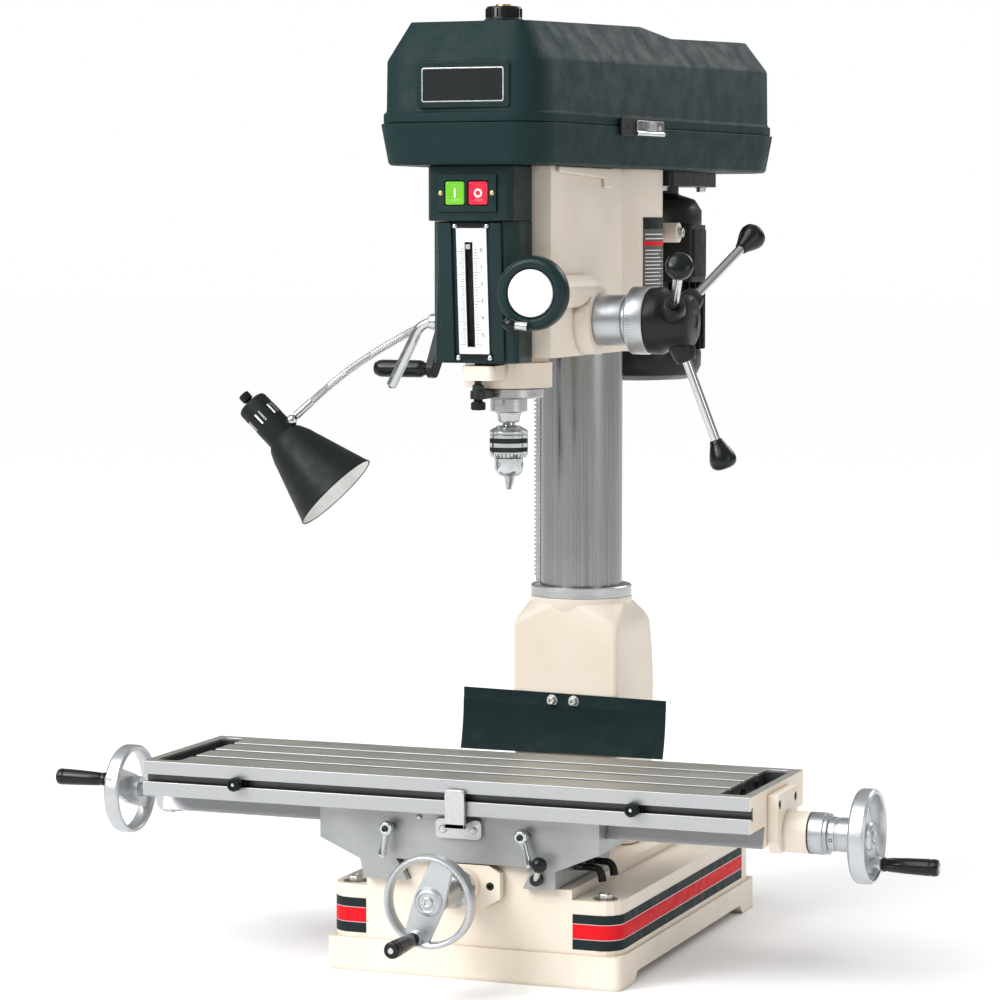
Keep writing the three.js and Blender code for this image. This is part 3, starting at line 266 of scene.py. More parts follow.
def table_iron():
    """The table: lengthwise grinding on top, a pale milled front, and painted shade in the groove along it and in
    its crevices.
    """
    made = Finish("table_iron", 0.38, 0.8)
    low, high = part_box("table")
    fine = made.noise(1.0, 4.0, (9.0, 900.0, 900.0))
    top = made.mix(made.ramp(fine, 0.35, 0.66), (0.36, 0.35, 0.31), (0.6, 0.59, 0.54))
    stains = made.ramp(made.noise(7.0, 6.0), 0.5, 0.8, 0.0, 0.45)
    top = made.mix(stains, top, (0.2, 0.19, 0.16))
    front = made.mix(made.ramp(made.noise(900.0, 4.0), 0.35, 0.7), (0.5, 0.51, 0.52), (0.42, 0.43, 0.44))
    normal = made.nodes.new("ShaderNodeSeparateXYZ")
    made.links.new(made.nodes.new("ShaderNodeNewGeometry").outputs["Normal"], normal.inputs["Vector"])
    here = made.nodes.new("ShaderNodeSeparateXYZ")
    made.links.new(made.place, here.inputs["Vector"])
    base = made.mix(made.ramp(normal.outputs["Z"], 0.4, 0.6), front, top)
    # Painted shade: surfaces set back behind the front face, between 29 mm above the bottom and 4.5 mm below the
    # top, are painted near black as the groove's shade.
    deep = made.ramp(here.outputs["Z"], high.z - 0.0045, high.z - 0.0025, 1.0, 0.0)
    behind = made.ramp(here.outputs["Y"], low.y + 0.0012, low.y + 0.002)
    hollow = made.maths("MULTIPLY", deep, behind)
    under = made.ramp(here.outputs["Z"], low.z + 0.0275, low.z + 0.029)
    dark = made.maths("MULTIPLY", hollow, under)
    base = made.mix(made.maths("MULTIPLY", dark, 0.85), base, (0.03, 0.035, 0.033))
    # Painted shade: darker in corners and crevices.
    shaded_in_crevices = made.mix(made.crevice(0.01), base, (0.05, 0.05, 0.045))
    left = made.ramp(here.outputs["X"], low.x + 0.0002, low.x + 0.0012, 1.0, 0.0)
    right = made.ramp(here.outputs["X"], high.x - 0.0012, high.x - 0.0002)
    upright = made.ramp(normal.outputs["Z"], 0.2, 0.5, 1.0, 0.0)
    ends = made.maths("MULTIPLY", made.maths("ADD", left, right), upright)
    made.colour(made.mix(ends, shaded_in_crevices, (0.78, 0.68, 0.56)))
    made.links.new(made.ramp(ends, 0.0, 1.0, 0.8, 0.0), made.shader.inputs["Metallic"])
    made.rough(made.ramp(fine, 0.3, 0.7, 0.3, 0.5))
    made.bump(fine, 0.15, 0.0003)
    made.bump(made.noise(600.0, 2.0), 0.15, 0.0002)
    return made.material


# The fourth colour of each enamel is its painted shade in corners and crevices.
IVORY = enamel("ivory_paint", (0.80, 0.72, 0.62), (0.73, 0.64, 0.53), (0.32, 0.23, 0.16), gloss=0.35)
GREEN = textured("green_paint", (0.008, 0.023, 0.024), (0.018, 0.042, 0.043), 0.5)
GREEN_SMOOTH = enamel(
    "green_enamel", (0.007, 0.02, 0.021), (0.011, 0.028, 0.029), (0.003, 0.007, 0.007), 0.34, 0.15)
BLACK = enamel("black_paint", (0.008, 0.009, 0.009), (0.012, 0.014, 0.014), (0.003, 0.003, 0.003), 0.36, gloss=0.2)
STEEL = metal("ground_steel", (0.48, 0.48, 0.47), (0.26, 0.26, 0.25), 0.26, (60.0, 60.0, 700.0))
COLUMN = metal("column_steel", (0.30, 0.31, 0.30), (0.15, 0.155, 0.145), 0.24, (420.0, 420.0, 4.0), 0.25, 6.0)
TURNED_X = metal("turned_alloy", (0.5, 0.52, 0.54), (0.34, 0.36, 0.38), 0.36, (900.0, 30.0, 30.0), 0.2)
TURNED_Z = metal("turned_steel", (0.52, 0.53, 0.53), (0.3, 0.31, 0.31), 0.26, (25.0, 25.0, 1100.0), 0.3)
ZINC = metal("zinc_plate", (0.62, 0.63, 0.62), (0.46, 0.46, 0.44), 0.32, (500.0, 500.0, 500.0), 0.18, 90.0)
ALLOY = metal("cast_alloy", (0.56, 0.58, 0.6), (0.42, 0.44, 0.46), 0.38, (500.0, 500.0, 500.0), 0.2, 60.0)
CHROME = metal("chrome", (0.56, 0.58, 0.59), (0.4, 0.42, 0.43), 0.13, (90.0, 90.0, 90.0), 0.15, 60.0, 0.03)
IRON = iron("machined_iron", (0.42, 0.435, 0.43), (0.25, 0.26, 0.26), 0.42, (30.0, 500.0, 500.0))
TABLE = table_iron()
BLACKENED = metal("blackened_steel", (0.05, 0.055, 0.055), (0.02, 0.022, 0.022), 0.4, (300.0, 300.0, 300.0))
BRASS = metal("brass", (0.62, 0.47, 0.2), (0.35, 0.25, 0.1), 0.3, (200.0, 200.0, 200.0))
KNOB = plastic("black_plastic", (0.005, 0.007, 0.007), 0.2, gloss=0.3)
MATT = plastic("matt_plastic", (0.008, 0.011, 0.011), 0.45, 500.0, 0.15, gloss=0.15)
RUBBER = rubber_sheet()
BELT = plastic("belt_rubber", (0.01, 0.01, 0.01), 0.6, 500.0, 0.3)
STRIPE_RED = plastic("stripe_red", (0.62, 0.006, 0.012), 0.5, 300.0, 0.02, gloss=0.15)
STRIPE_BLACK = plastic("stripe_black", (0.01, 0.018, 0.02), 0.5, 300.0, 0.02, gloss=0.15)
GO = plastic("green_button", (0.14, 0.48, 0.02), 0.25)
HALT = plastic("red_button", (0.6, 0.008, 0.035), 0.25)
WHITE = plastic("white_enamel", (0.8, 0.8, 0.79), 0.3, 300.0)
PLATE = metal("scale_face", (0.82, 0.83, 0.83), (0.7, 0.71, 0.71), 0.42, (30.0, 30.0, 900.0), 0.15)
CHART = plastic("chart_grey", (0.09, 0.088, 0.08), 0.45, gloss=0.2)
GLASS = plastic("lamp_glass", (0.78, 0.76, 0.7), 0.12)


# Shapes


def ring(radius, sides):
    return [(radius * math.cos(a), radius * math.sin(a)) for a in (TAU * i / sides for i in range(sides))]


def arc(centre, radius, start, end, steps):
    """Points on an arc, its angles in degrees."""
    angles = [math.radians(start + (end - start) * i / steps) for i in range(steps + 1)]
    return [(centre[0] + radius * math.cos(a), centre[1] + radius * math.sin(a)) for a in angles]


def rounded(x0, x1, y0, y1, radius, steps=6):
    return [
        *arc((x1 - radius, y0 + radius), radius, -90, 0, steps),
        *arc((x1 - radius, y1 - radius), radius, 0, 90, steps),
        *arc((x0 + radius, y1 - radius), radius, 90, 180, steps),
        *arc((x0 + radius, y0 + radius), radius, 180, 270, steps),
    ]


def capsule(first, r1, second, r2, steps=12):
    """The outline round two circles, for a lever whose ends are round."""
    along = math.degrees(math.atan2(second[1] - first[1], second[0] - first[0]))
    lean = math.degrees(math.asin((r1 - r2) / math.dist(first, second)))
    return [
        *arc(second, r2, along - 90 + lean, along + 90 - lean, steps),
        *arc(first, r1, along + 90 - lean, along + 270 + lean, steps),
    ]


def spokes(count, turn=0.0):
    """Directions spread evenly round the Z axis."""
    angles = [turn + TAU * i / count for i in range(count)]
    return [Vector((math.cos(a), math.sin(a), 0)) for a in angles]


def outline_at(z, outline):
    return [(x, y, z) for x, y in outline]


def basis(direction):
    axis = Vector(direction).normalized()
    turn = Vector((0, 0, 1)).rotation_difference(axis)
    return turn @ Vector((1, 0, 0)), turn @ Vector((0, 1, 0)), axis


def curve(points, steps):
    """A smooth line through the points, with that many steps between each two."""
    points = [Vector(p) for p in points]
    ends = [2 * points[0] - points[1], *points, 2 * points[-1] - points[-2]]
    line = []
    for before, here, there, after in zip(ends, ends[1:], ends[2:], ends[3:]):
        for i in range(steps):
            t = i / steps
            line.append(0.5 * (
                2 * here + (there - before) * t + (2 * before - 5 * here + 4 * there - after) * t ** 2
                + (3 * here - before - 3 * there + after) * t ** 3
            ))
    return [*line, points[-1]]


class Shape:
    """A mesh in the making, in millimetres. Every solid added to it has its own finish."""

    def __init__(self):
        self.mesh = bmesh.new()
        self.finishes = []

    def skin(self, rings, finish, capped=True, looped=False):
        """Joins rings of points into a closed solid; a ring of one point is a tip."""
        made = [[self.mesh.verts.new(Vector(p)) for p in points] for points in rings]
        faces = []
        pairs = list(zip(made, made[1:]))
        if looped:
            pairs.append((made[-1], made[0]))
        for near, far in pairs:
            count = max(len(near), len(far))
            for i in range(count):
                j = (i + 1) % count
                corners = [near[i % len(near)], near[j % len(near)], far[j % len(far)], far[i % len(far)]]
                corners = list(dict.fromkeys(corners))
                if len(corners) > 2:
                    faces.append(self.mesh.faces.new(corners))
        if capped and not looped:
            faces += [self.mesh.faces.new(points) for points in (made[0], made[-1]) if len(points) > 2]
        if finish not in self.finishes:
            self.finishes.append(finish)
        for face in faces:
            face.material_index = self.finishes.index(finish)
        return self

    def turned(self, profile, origin, direction, finish, sides=64):
        """A profile of (radius, height) turned about an axis; one that keeps off the axis is a ring."""
        u, v, axis = basis(direction)
        rings = []
        for radius, height in profile:
            middle = Vector(origin) + axis * height
            if radius < 1e-6:
                rings.append([middle])
            else:
                rings.append([middle + u * x + v * y for x, y in ring(radius, sides)])
        return self.skin(rings, finish, looped=profile[0][0] > 0 and profile[-1][0] > 0)

    def rod(self, start, end, radius, finish, sides=32, far=None):
        """A round bar; far is its radius at the end where that differs."""
        far = radius if far is None else far
        reach = (Vector(end) - Vector(start)).length
        profile = [(0, 0), (radius, 0), (far, reach), (0, reach)]
        return self.turned(profile, start, Vector(end) - Vector(start), finish, sides)

    def prism(self, outline, axis, low, high, finish):
        """An outline carried along an axis: (y, z) along x, (x, z) along y, (x, y) along z."""
        place = {"x": lambda u, v, w: (w, u, v), "y": lambda u, v, w: (u, w, v), "z": lambda u, v, w: (u, v, w)}
        return self.skin([[place[axis](u, v, w) for u, v in outline] for w in (low, high)], finish)

    def box(self, low, high, finish):
        outline = [(low[0], low[1]), (high[0], low[1]), (high[0], high[1]), (low[0], high[1])]
        return self.prism(outline, "z", low[2], high[2], finish)

    def swept(self, points, radii, finish, sides=20):
        """A round bar along a line of points; radii is one radius or one for each point."""
        points = [Vector(p) for p in points]
        radii = radii if isinstance(radii, list) else [radii] * len(points)
        side = basis(points[1] - points[0])[0]
        rings = []
        for i, (point, radius) in enumerate(zip(points, radii)):
            along = (points[min(i + 1, len(points) - 1)] - points[max(i - 1, 0)]).normalized()
            side = (side - along * side.dot(along)).normalized()
            other = along.cross(side)
            rings.append([point + side * x + other * y for x, y in ring(radius, sides)])
        return self.skin(rings, finish)

    def rib(self, centre, out, inner, rows, finish):
        """An upright rib standing out from an axis; rows are its (height, half width, reach)."""
        aside = Vector((-out.y, out.x, 0))
        return self.skin([
            [centre + out * far + aside * half * side + Vector((0, 0, height))
             for far, side in ((inner, -1), (reach, -1), (reach, 1), (inner, 1))]
            for height, half, reach in rows
        ], finish)

    def screw(self, place, direction, radius, height, finish):
        """A hexagon head standing on a washer, with a small dished socket in its end."""
        washer = radius * 1.35
        self.turned([(0, 0), (washer, 0), (washer, height * 0.18), (0, height * 0.18)],
                    place, direction, finish, 32)
        return self.turned([
            (0, height * 0.15), (radius, height * 0.15), (radius, height * 0.9), (radius * 0.9, height),
            (radius * 0.45, height), (radius * 0.4, height * 0.6), (0, height * 0.55),
        ], place, direction, finish, 6)

    def finish(self, name, body, slot, replaces=(), bevel=0.5, smooth=32, segments=2):
        """Makes the piece, in metres, rides it on its body and hides the CAD parts it replaces."""
        bmesh.ops.recalc_face_normals(self.mesh, faces=self.mesh.faces)
        bmesh.ops.scale(self.mesh, vec=(MM, MM, MM), verts=self.mesh.verts)
        data = bpy.data.meshes.new(name)
        self.mesh.to_mesh(data)
        self.mesh.free()
        for finish in self.finishes:
            data.materials.append(finish)
        piece = bpy.data.objects.new(name, data)
        bpy.context.scene.collection.objects.link(piece)
        soften(piece, bevel, smooth, segments)
        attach(piece, body)
        if replaces:
            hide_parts(*replaces)
        return piece


def soften(piece, bevel, smooth, segments):
    """Smooth shading with sharp edges kept, and every sharp edge broken by a small round."""
    for polygon in piece.data.polygons:
        polygon.use_smooth = True
    piece.data.set_sharp_from_angle(angle=math.radians(smooth))
    if bevel:
        break_edges(piece, bevel, segments, smooth)


def break_edges(piece, width, segments, sharp):
    edge = piece.modifiers.new("edge", "BEVEL")
    edge.width = width * MM
    edge.segments = segments
    edge.limit_method = "ANGLE"
    edge.angle_limit = math.radians(sharp)
    edge.harden_normals = True


def refine(node, finish, bevel, segments=3, merge=True):
    """Keeps a CAD node, with a better finish and its edges rounded by modifiers alone."""
    piece = frame["nodes"][node]
    piece.data.materials.clear()
    piece.data.materials.append(finish)
    weld = piece.modifiers.new("weld", "WELD")
    weld.merge_threshold = 0.00002
    if merge:
        flat = piece.modifiers.new("flat", "DECIMATE")
        flat.decimate_type = "DISSOLVE"
        flat.angle_limit = math.radians(0.6)
    break_edges(piece, bevel, segments, 33)


# Base, pedestal and column


def base():
    refine("base_casting", IVORY, 3.0)
    low, high = span("base_casting")
    inset, corner, back = 4.0, 28.0, 120.0
    left, right, front = low.x + inset, high.x - inset, low.y + inset
    bands = [(51, 64.2, STRIPE_BLACK), (65, 84.2, STRIPE_RED), (85, 97, STRIPE_BLACK)]
    hairlines = [(64.2, 65, ZINC), (84.2, 85, ZINC)]
    routes = {
        "right": [(140, front), *arc((right - corner, front + corner), corner, -90, 0, 12), (right, back)],
        "left": [(left, back), *arc((left + corner, front + corner), corner, 180, 270, 12), (-150, front)],
    }
    for side, route in routes.items():
        shape = Shape()
        for bottom, top, finish in bands + hairlines:
            rings = []
            for i, (x, y) in enumerate(route):
                before, after = route[max(i - 1, 0)], route[min(i + 1, len(route) - 1)]
                out = Vector((after[1] - before[1], before[0] - after[0])).normalized()
                rings.append([
                    (x + out.x * far, y + out.y * far, z)
                    for far, z in ((-1, bottom), (0.5, bottom), (0.5, top), (-1, top))
                ])
            shape.skin(rings, finish)
        shape.finish(f"base_stripe_{side}", "base", "black_paint", bevel=0)
    bolts = Shape()
    for x in (-176, 176):
        for y in (low.y + 30, high.y - 30):
            bolts.screw((x, y, 110), UP, 9.5, 12, ZINC)
    bolts.finish("hold_down_bolts", "base", "chrome", bevel=0.5)


def pedestal():
    """A square body with sloping shoulders, its back drawn in by a long curve, and a round collar."""
    low, high = span("pedestal")
    flange = low.z + 21.7
    half, front, back = 78.0, -70.0, 96.0
    shape = Shape()
    shape.prism(rounded(low.x, high.x, low.y, high.y, 20, 8), "z", low.z, flange, IVORY)
    rings = [
        outline_at(flange + z, rounded(-half - spread, half + spread, front - spread, back + spread * 0.6, 16, 8))
        for z, spread in ((-1, 12), (6, 9), (16, 5), (30, 1.5), (42, 0))
    ]
    rings += [outline_at(z, rounded(-wide, wide, front, rear, corner, 8)) for z, wide, rear, corner in (
        (330, half, back, 8), (360, half, 93, 8), (390, half, 88, 8), (412, half, 82.5, 8), (424, half, 78.5, 9),
        (432, 77, 76, 16), (440, 75, 74.5, 28), (449, 73, 72.5, 48), (458, 71, 71, 70), (high.z, 71, 71, 70),
    )]
    shape.skin(rings, IVORY)
    collar = [(0, 440), (69, 444), (71.5, 452), (71.5, high.z), (0, high.z)]
    shape.turned(collar, (0, 0, 0), UP, IVORY, 96)
    shape.finish("pedestal_look", "base", "ivory_paint", ["pedestal"], bevel=2.0, smooth=28, segments=3)


def column():
    low, high = span("column")
    radius = high.x
    bore = radius - 12.5
    tube = [(bore, low.z), (radius, low.z), (radius, high.z - 1.2), (radius - 1.2, high.z), (bore, high.z)]
    shape = Shape().turned(tube, (0, 0, 0), UP, COLUMN, 128)
    shape.finish("column_look", "base", "ground_steel", ["column"], bevel=0)
    low, high = span("column_rack")
    foot, reach = low.z, high.x
    inner = radius + 0.4
    rack = Shape()
    rack.turned([
        (inner, foot), (reach, foot), (reach, foot + 13.5), (reach - 1.5, foot + 15), (inner, foot + 15.6),
    ], (0, 0, 0), UP, TURNED_Z, 96)
    pitch = 6.0
    root, face, tip = -57.8, -64.4, -67.4
    comb = [(root, foot + 16), (face, foot + 16)]
    z = foot + 25
    while z + pitch < high.z:
        comb += [(face, z), (tip, z + 1.2), (tip, z + 3.2), (face, z + 4.4)]
        z += pitch
    comb += [(face, high.z), (root, high.z)]
    rack.prism(comb, "y", -11, 11, STEEL)
    rack.finish("column_rack_look", "rack", "ground_steel", ["column_rack"], bevel=0.3)


def chip_guard():
    """A rubber sheet folded below its bolts, that sweeps forward and hangs in slow waves."""
    low, high = span("chip_guard")
    top, wall = high.z, high.y
    thick, rows, columns = 2.6, 18, 48
    fold, bend = top - 17, wall - 1.5
    line = [(wall, top), (wall, fold + 4), (bend, fold)]
    for i in range(1, rows + 1):
        t = i / rows
        sweep = (bend - low.y - thick) * t ** 1.75
        line.append((bend - sweep, fold + (low.z - fold) * (t - 0.06 * t * t) / 0.94))
    shape = Shape()
    rings = []
    for c in range(columns + 1):
        x = low.x + (high.x - low.x) * c / columns
        front, back = [], []
        for i, (y, z) in enumerate(line):
            ahead, behind = line[min(i + 1, len(line) - 1)], line[max(i - 1, 0)]
            out = Vector((ahead[1] - behind[1], behind[0] - ahead[0])).normalized()
            slack = max(fold - z, 0) / (fold - low.z)
            wave = slack * (1.6 * math.sin(x / 38 + 0.6) + 0.9 * math.sin(x / 17))
            dip = 6 * c / columns * (z - low.z) / (top - low.z)
            front.append((x, y + out.x * thick + wave, z + out.y * thick - dip))
            back.append((x, y + wave, z - dip))
        rings.append(front + back[::-1])
    shape.skin(rings, RUBBER)
    guard = shape.finish("chip_guard_sheet", "base", "guard_rubber", ["chip_guard"], bevel=0.4, smooth=40)
    bolts = Shape()
    for x in (-17, 15):
        bolts.screw((x, wall - thick, 322), FRONT, 6, 8, ZINC)
    bolts.finish("guard_bolts", "base", "chrome", bevel=0.4)


def cross_bracket():
    refine("cross_bracket", IVORY, 2.5)
    face = span("cross_bracket")[1].y
    axis = pivot("cross_feed_turn")
    screws = Shape()
    for side in (-36, 36):
        screws.turned([(0, 0), (5, 0), (5, 5), (4.4, 5.6), (2.6, 5.6), (2.4, 2), (0, 2)],
                      at(axis, side, face - axis.y - 9), FRONT, BLACKENED, 32)
    screws.finish("bracket_screws", "base", "black_paint", bevel=0.2)


# Saddle


def saddle():
    refine("saddle", IRON, 1.2)
    low, high = span("saddle")
    axis_x = pivot("cross_feed_turn").x
    front = -440.0
    stop = Shape()
    stop.prism(rounded(axis_x - 38, axis_x + 26, 189, 215, 6), "y", front - 6.8, front - 0.2, ZINC)
    left, right, face = axis_x - 11.6, axis_x + 15.6, low.y - 0.7
    stop.box((left, face, 207.4), (right, front - 3, 214.6), ZINC)
    tip = 252.6
    tab = [(left, 208), (right, 208), *arc((right - 6, tip), 6, 0, 90, 6), *arc((left + 6, tip), 6, 90, 180, 6)]
    stop.prism(tab, "y", face, low.y + 5.6, ZINC)
    for x in (axis_x - 27, axis_x + 15):
        stop.turned([(0, 0), (5.6, 0), (5.6, 1.6), (4, 3.4), (0, 4)], (x, front - 6, 201), FRONT, ZINC, 32)
    stop.finish("stop_bracket", "saddle", "chrome", bevel=0.8, segments=3)
    oiler = Shape()
    button = [(0, 0), (3.6, 0), (3.6, 1.4), (2.4, 3), (0, 3.4)]
    oiler.turned(button, (axis_x - 63, front - 0.2, 213), FRONT, ZINC, 24)
    fitting = at((high.x, -385, 205))
    oiler.turned([(0, 0), (7, 0), (7, 4), (5, 5), (5, 9), (0, 9)], fitting, RIGHT, BRASS, 6)
    oiler.finish("saddle_oilers", "saddle", "chrome", bevel=0.3)


def table_locks():
    for name, lean in (("table_lock_left", -6), ("table_lock_right", 10)):
        axis = pivot(f"{name}_turn")
        front = span(name)[1].y
        shape = Shape()
        shape.rod((axis.x, front, axis.z), (axis.x, front - 14, axis.z), 5, BLACKENED)
        shape.turned([(0, 0), (9, 0), (9, 10), (7.6, 11.4), (4.6, 11.4), (4.2, 8), (0, 8)],
                     (axis.x, front - 12, axis.z), FRONT, CHROME, 40)
        socket = [(0, 0), (3.9, 0), (3.9, 1.4), (0, 1.4)]
        shape.turned(socket, (axis.x, front - 20, axis.z), FRONT, BLACKENED, 6)
        tip = (axis.x + lean, axis.z - 35)
        shape.swept(curve([
            (axis.x + lean * 0.15, front - 17, axis.z - 5), (axis.x + lean * 0.6, front - 18, axis.z - 20),
            (tip[0], front - 18, tip[1]),
        ], 8), [5.0 - 0.9 * math.sin(math.pi * i / 16) + 0.05 * i for i in range(17)], CHROME)
        shape.turned([(0, -5.6), (3, -4.7), (4.8, -2.7), (5.5, 0), (4.8, 2.7), (3, 4.7), (0, 5.6)],
                     (tip[0], front - 18, tip[1]), UP, CHROME, 32)
        shape.finish(f"{name}_look", name, "chrome", [name], bevel=0.4)


def saddle_levers():
    for name in ("saddle_lock_front", "saddle_lock_rear"):
        axis = pivot(f"{name}_turn")
        face = span(name)[0].x
        shape = Shape()
        place = Vector((face, axis.y, axis.z))
        shape.turned([(0, 0), (5.2, 0), (5.2, 11), (4.4, 12.6), (0, 12.6)], place, RIGHT, BLACKENED, 6)
        bend = [(4, 0), (18, 0), (30, -0.5), (35.5, -5), (37.5, -11), (38.5, -17.5)]
        line = curve([at(place, x, 0, z) for x, z in bend], 6)
        shape.swept(line, [4.2 + 0.05 * i for i in range(len(line))], KNOB, 24)
        shape.finish(f"{name}_look", name, "black_plastic", [name], bevel=0.8)
    axis = pivot("ball_lever_turn")
    front = span("saddle_ball_lever")[1].y
    tip = Vector((axis.x + 10, front - 22, axis.z + 23))
    root = Vector((axis.x, front - 7, axis.z))
    ball = 10.5
    shape = Shape()
    shape.turned([(0, 0), (8, 0), (8, 9), (6, 12), (0, 12)], (axis.x, front, axis.z), FRONT, BLACKENED, 40)
    shape.rod(root, tip, 4.4, ZINC, 32, 3.4)
    angles = [math.pi * i / 16 for i in range(16)]
    profile = [(ball * math.sin(a), -ball * math.cos(a)) for a in angles]
    shape.turned([*profile, (0, ball)], tip, tip - root, KNOB, 48)
    shape.finish("saddle_ball_lever_look", "saddle_ball_lever", "black_plastic", ["saddle_ball_lever"], bevel=0.3)


# Table and its feeds


def table():
    refine("table", TABLE, 0.9)
    refine("left_bracket", ALLOY, 3.0, 4)
    refine("right_bracket", IVORY, 3.0, 4)
    low, high = span("table")
    screws = Shape()
    for end, side in ((low.x, -1), (high.x, 1)):
        for y in (-388, -316):
            screws.turned([(0, 0), (5.6, 0), (5.6, 6), (5, 6.8), (3, 6.8), (2.8, 3), (0, 3)],
                          (end + side * 6.8, y, 250), (side, 0, 0), BLACKENED, 32)
    screws.finish("bracket_end_screws", "table", "black_paint", bevel=0.2)
    for name in ("stop_dog_left", "stop_dog_right"):
        low, high = span(name)
        middle = (low + high) / 2
        shape = Shape()
        shape.box((low.x, high.y - 5.5, 241), (high.x, high.y, 255), BLACKENED)
        shape.turned([
            (0, 0), (4.6, 0), (4.6, 9), (8.4, 9.6), (9.2, 11), (9.2, 21), (8.2, 23), (5.5, 23.6), (5.2, 21.5),
            (0, 21.5),
        ], (middle.x, high.y - 5, 248), FRONT, MATT, 12)
        shape.turned([(0, 0), (2.6, 0), (2.2, 2), (0, 2.2)], (middle.x, high.y - 26.4, 248), FRONT, ZINC, 24)
        shape.finish(f"{name}_look", name, "black_plastic", [name], bevel=0.4)


def graduations(shape, origin, direction, radius, height, count):
    """Short lines round a dial, every fifth one longer."""
    u, v, axis = basis(direction)
    for i in range(count):
        angle = TAU * i / count
        out = u * math.cos(angle) + v * math.sin(angle)
        aside = axis.cross(out)
        reach = height * (0.6 if i % 5 else 1.0)
        corners = [aside * s * 0.22 + axis * h for s, h in ((-1, 0), (1, 0), (1, reach), (-1, reach))]
        shape.skin([
            [Vector(origin) + out * depth + corner for corner in corners] for depth in (radius - 0.3, radius + 0.12)
        ], BLACKENED)


def handwheel(side, body, outward):
    """Rim, one wide web with a boss in it, and the pin with its turning grip, on the body's axis."""
    name, grip_node = f"{side}_wheel", f"{side}_grip"
    low, high = span(name)
    grip_low, grip_high = span(grip_node)
    axis = Vector(outward)
    length = [abs(n) for n in outward].index(1)
    radius = max((high - low)[i] for i in range(3) if i != length) / 2
    hub = pivot(f"{body}_turn")
    hub[length] = (low if outward[length] > 0 else high)[length] + axis[length] * 18
    arm = (grip_low + grip_high) / 2 - hub
    arm -= axis * arm.dot(axis)
    seat = hub + arm
    arm.normalize()
    aside = axis.cross(arm)
    inner = radius - 8.5
    shape = Shape()
    rim = [
        (inner + 1.5, -9.5), (inner + 3.5, -11), (radius - 2.5, -11), (radius - 0.4, -8), (radius, 0),
        (radius - 0.4, 8), (radius - 2.5, 11), (inner + 3.5, 11), (inner + 1.5, 9.5), (inner, 4), (inner, -4),
    ]
    shape.turned(rim, hub, outward, ALLOY, 112)
    web = []
    for x, w in ((-inner - 2, 15), (-inner * 0.55, 17.5), (0, 21), (inner * 0.55, 19), (inner + 2, 17)):
        web.append([hub + arm * x + aside * w * s + axis * h for s, h in ((-1, -5), (1, -5), (1, 3), (-1, 3))])
    shape.skin(web, ALLOY)
    boss = [(0, -18), (17, -18), (19, -6), (19, 4), (16, 8), (12.5, 9), (12, 7.4), (0, 7.4)]
    shape.turned(boss, hub, outward, ALLOY, 64)
    nut = [(0, 0), (7.4, 0), (7.4, 2.6), (6.6, 3.4), (3.8, 3.4), (3.4, 1.2), (0, 1.2)]
    shape.turned(nut, hub + axis * 7, outward, ZINC, 40)
    shape.turned([(0, 0), (11, 0), (9.5, 9), (8.6, 11), (0, 11)], seat, outward, ALLOY, 48)
    shape.rod(seat + axis * 8, seat + axis * 87.6, 3.9, ZINC, 24)
    shape.finish(f"{name}_look", body, "alloy", [name], bevel=0.7, segments=3)
    handle = Shape()
    handle.turned([
        (4.4, 12.2), (8.0, 12.2), (9.2, 13.4), (9.2, 17), (8.4, 18), (8.2, 19.5), (9.0, 21), (10.2, 45), (11.0, 70),
        (11.1, 74), (10.2, 75), (10.2, 76), (11.1, 77), (11.2, 81), (10.4, 84.6), (8.6, 86), (4.4, 86),
    ], seat, outward, KNOB, 64)
    handle.finish(f"{grip_node}_look", grip_node, "black_plastic", [grip_node], bevel=0.3)


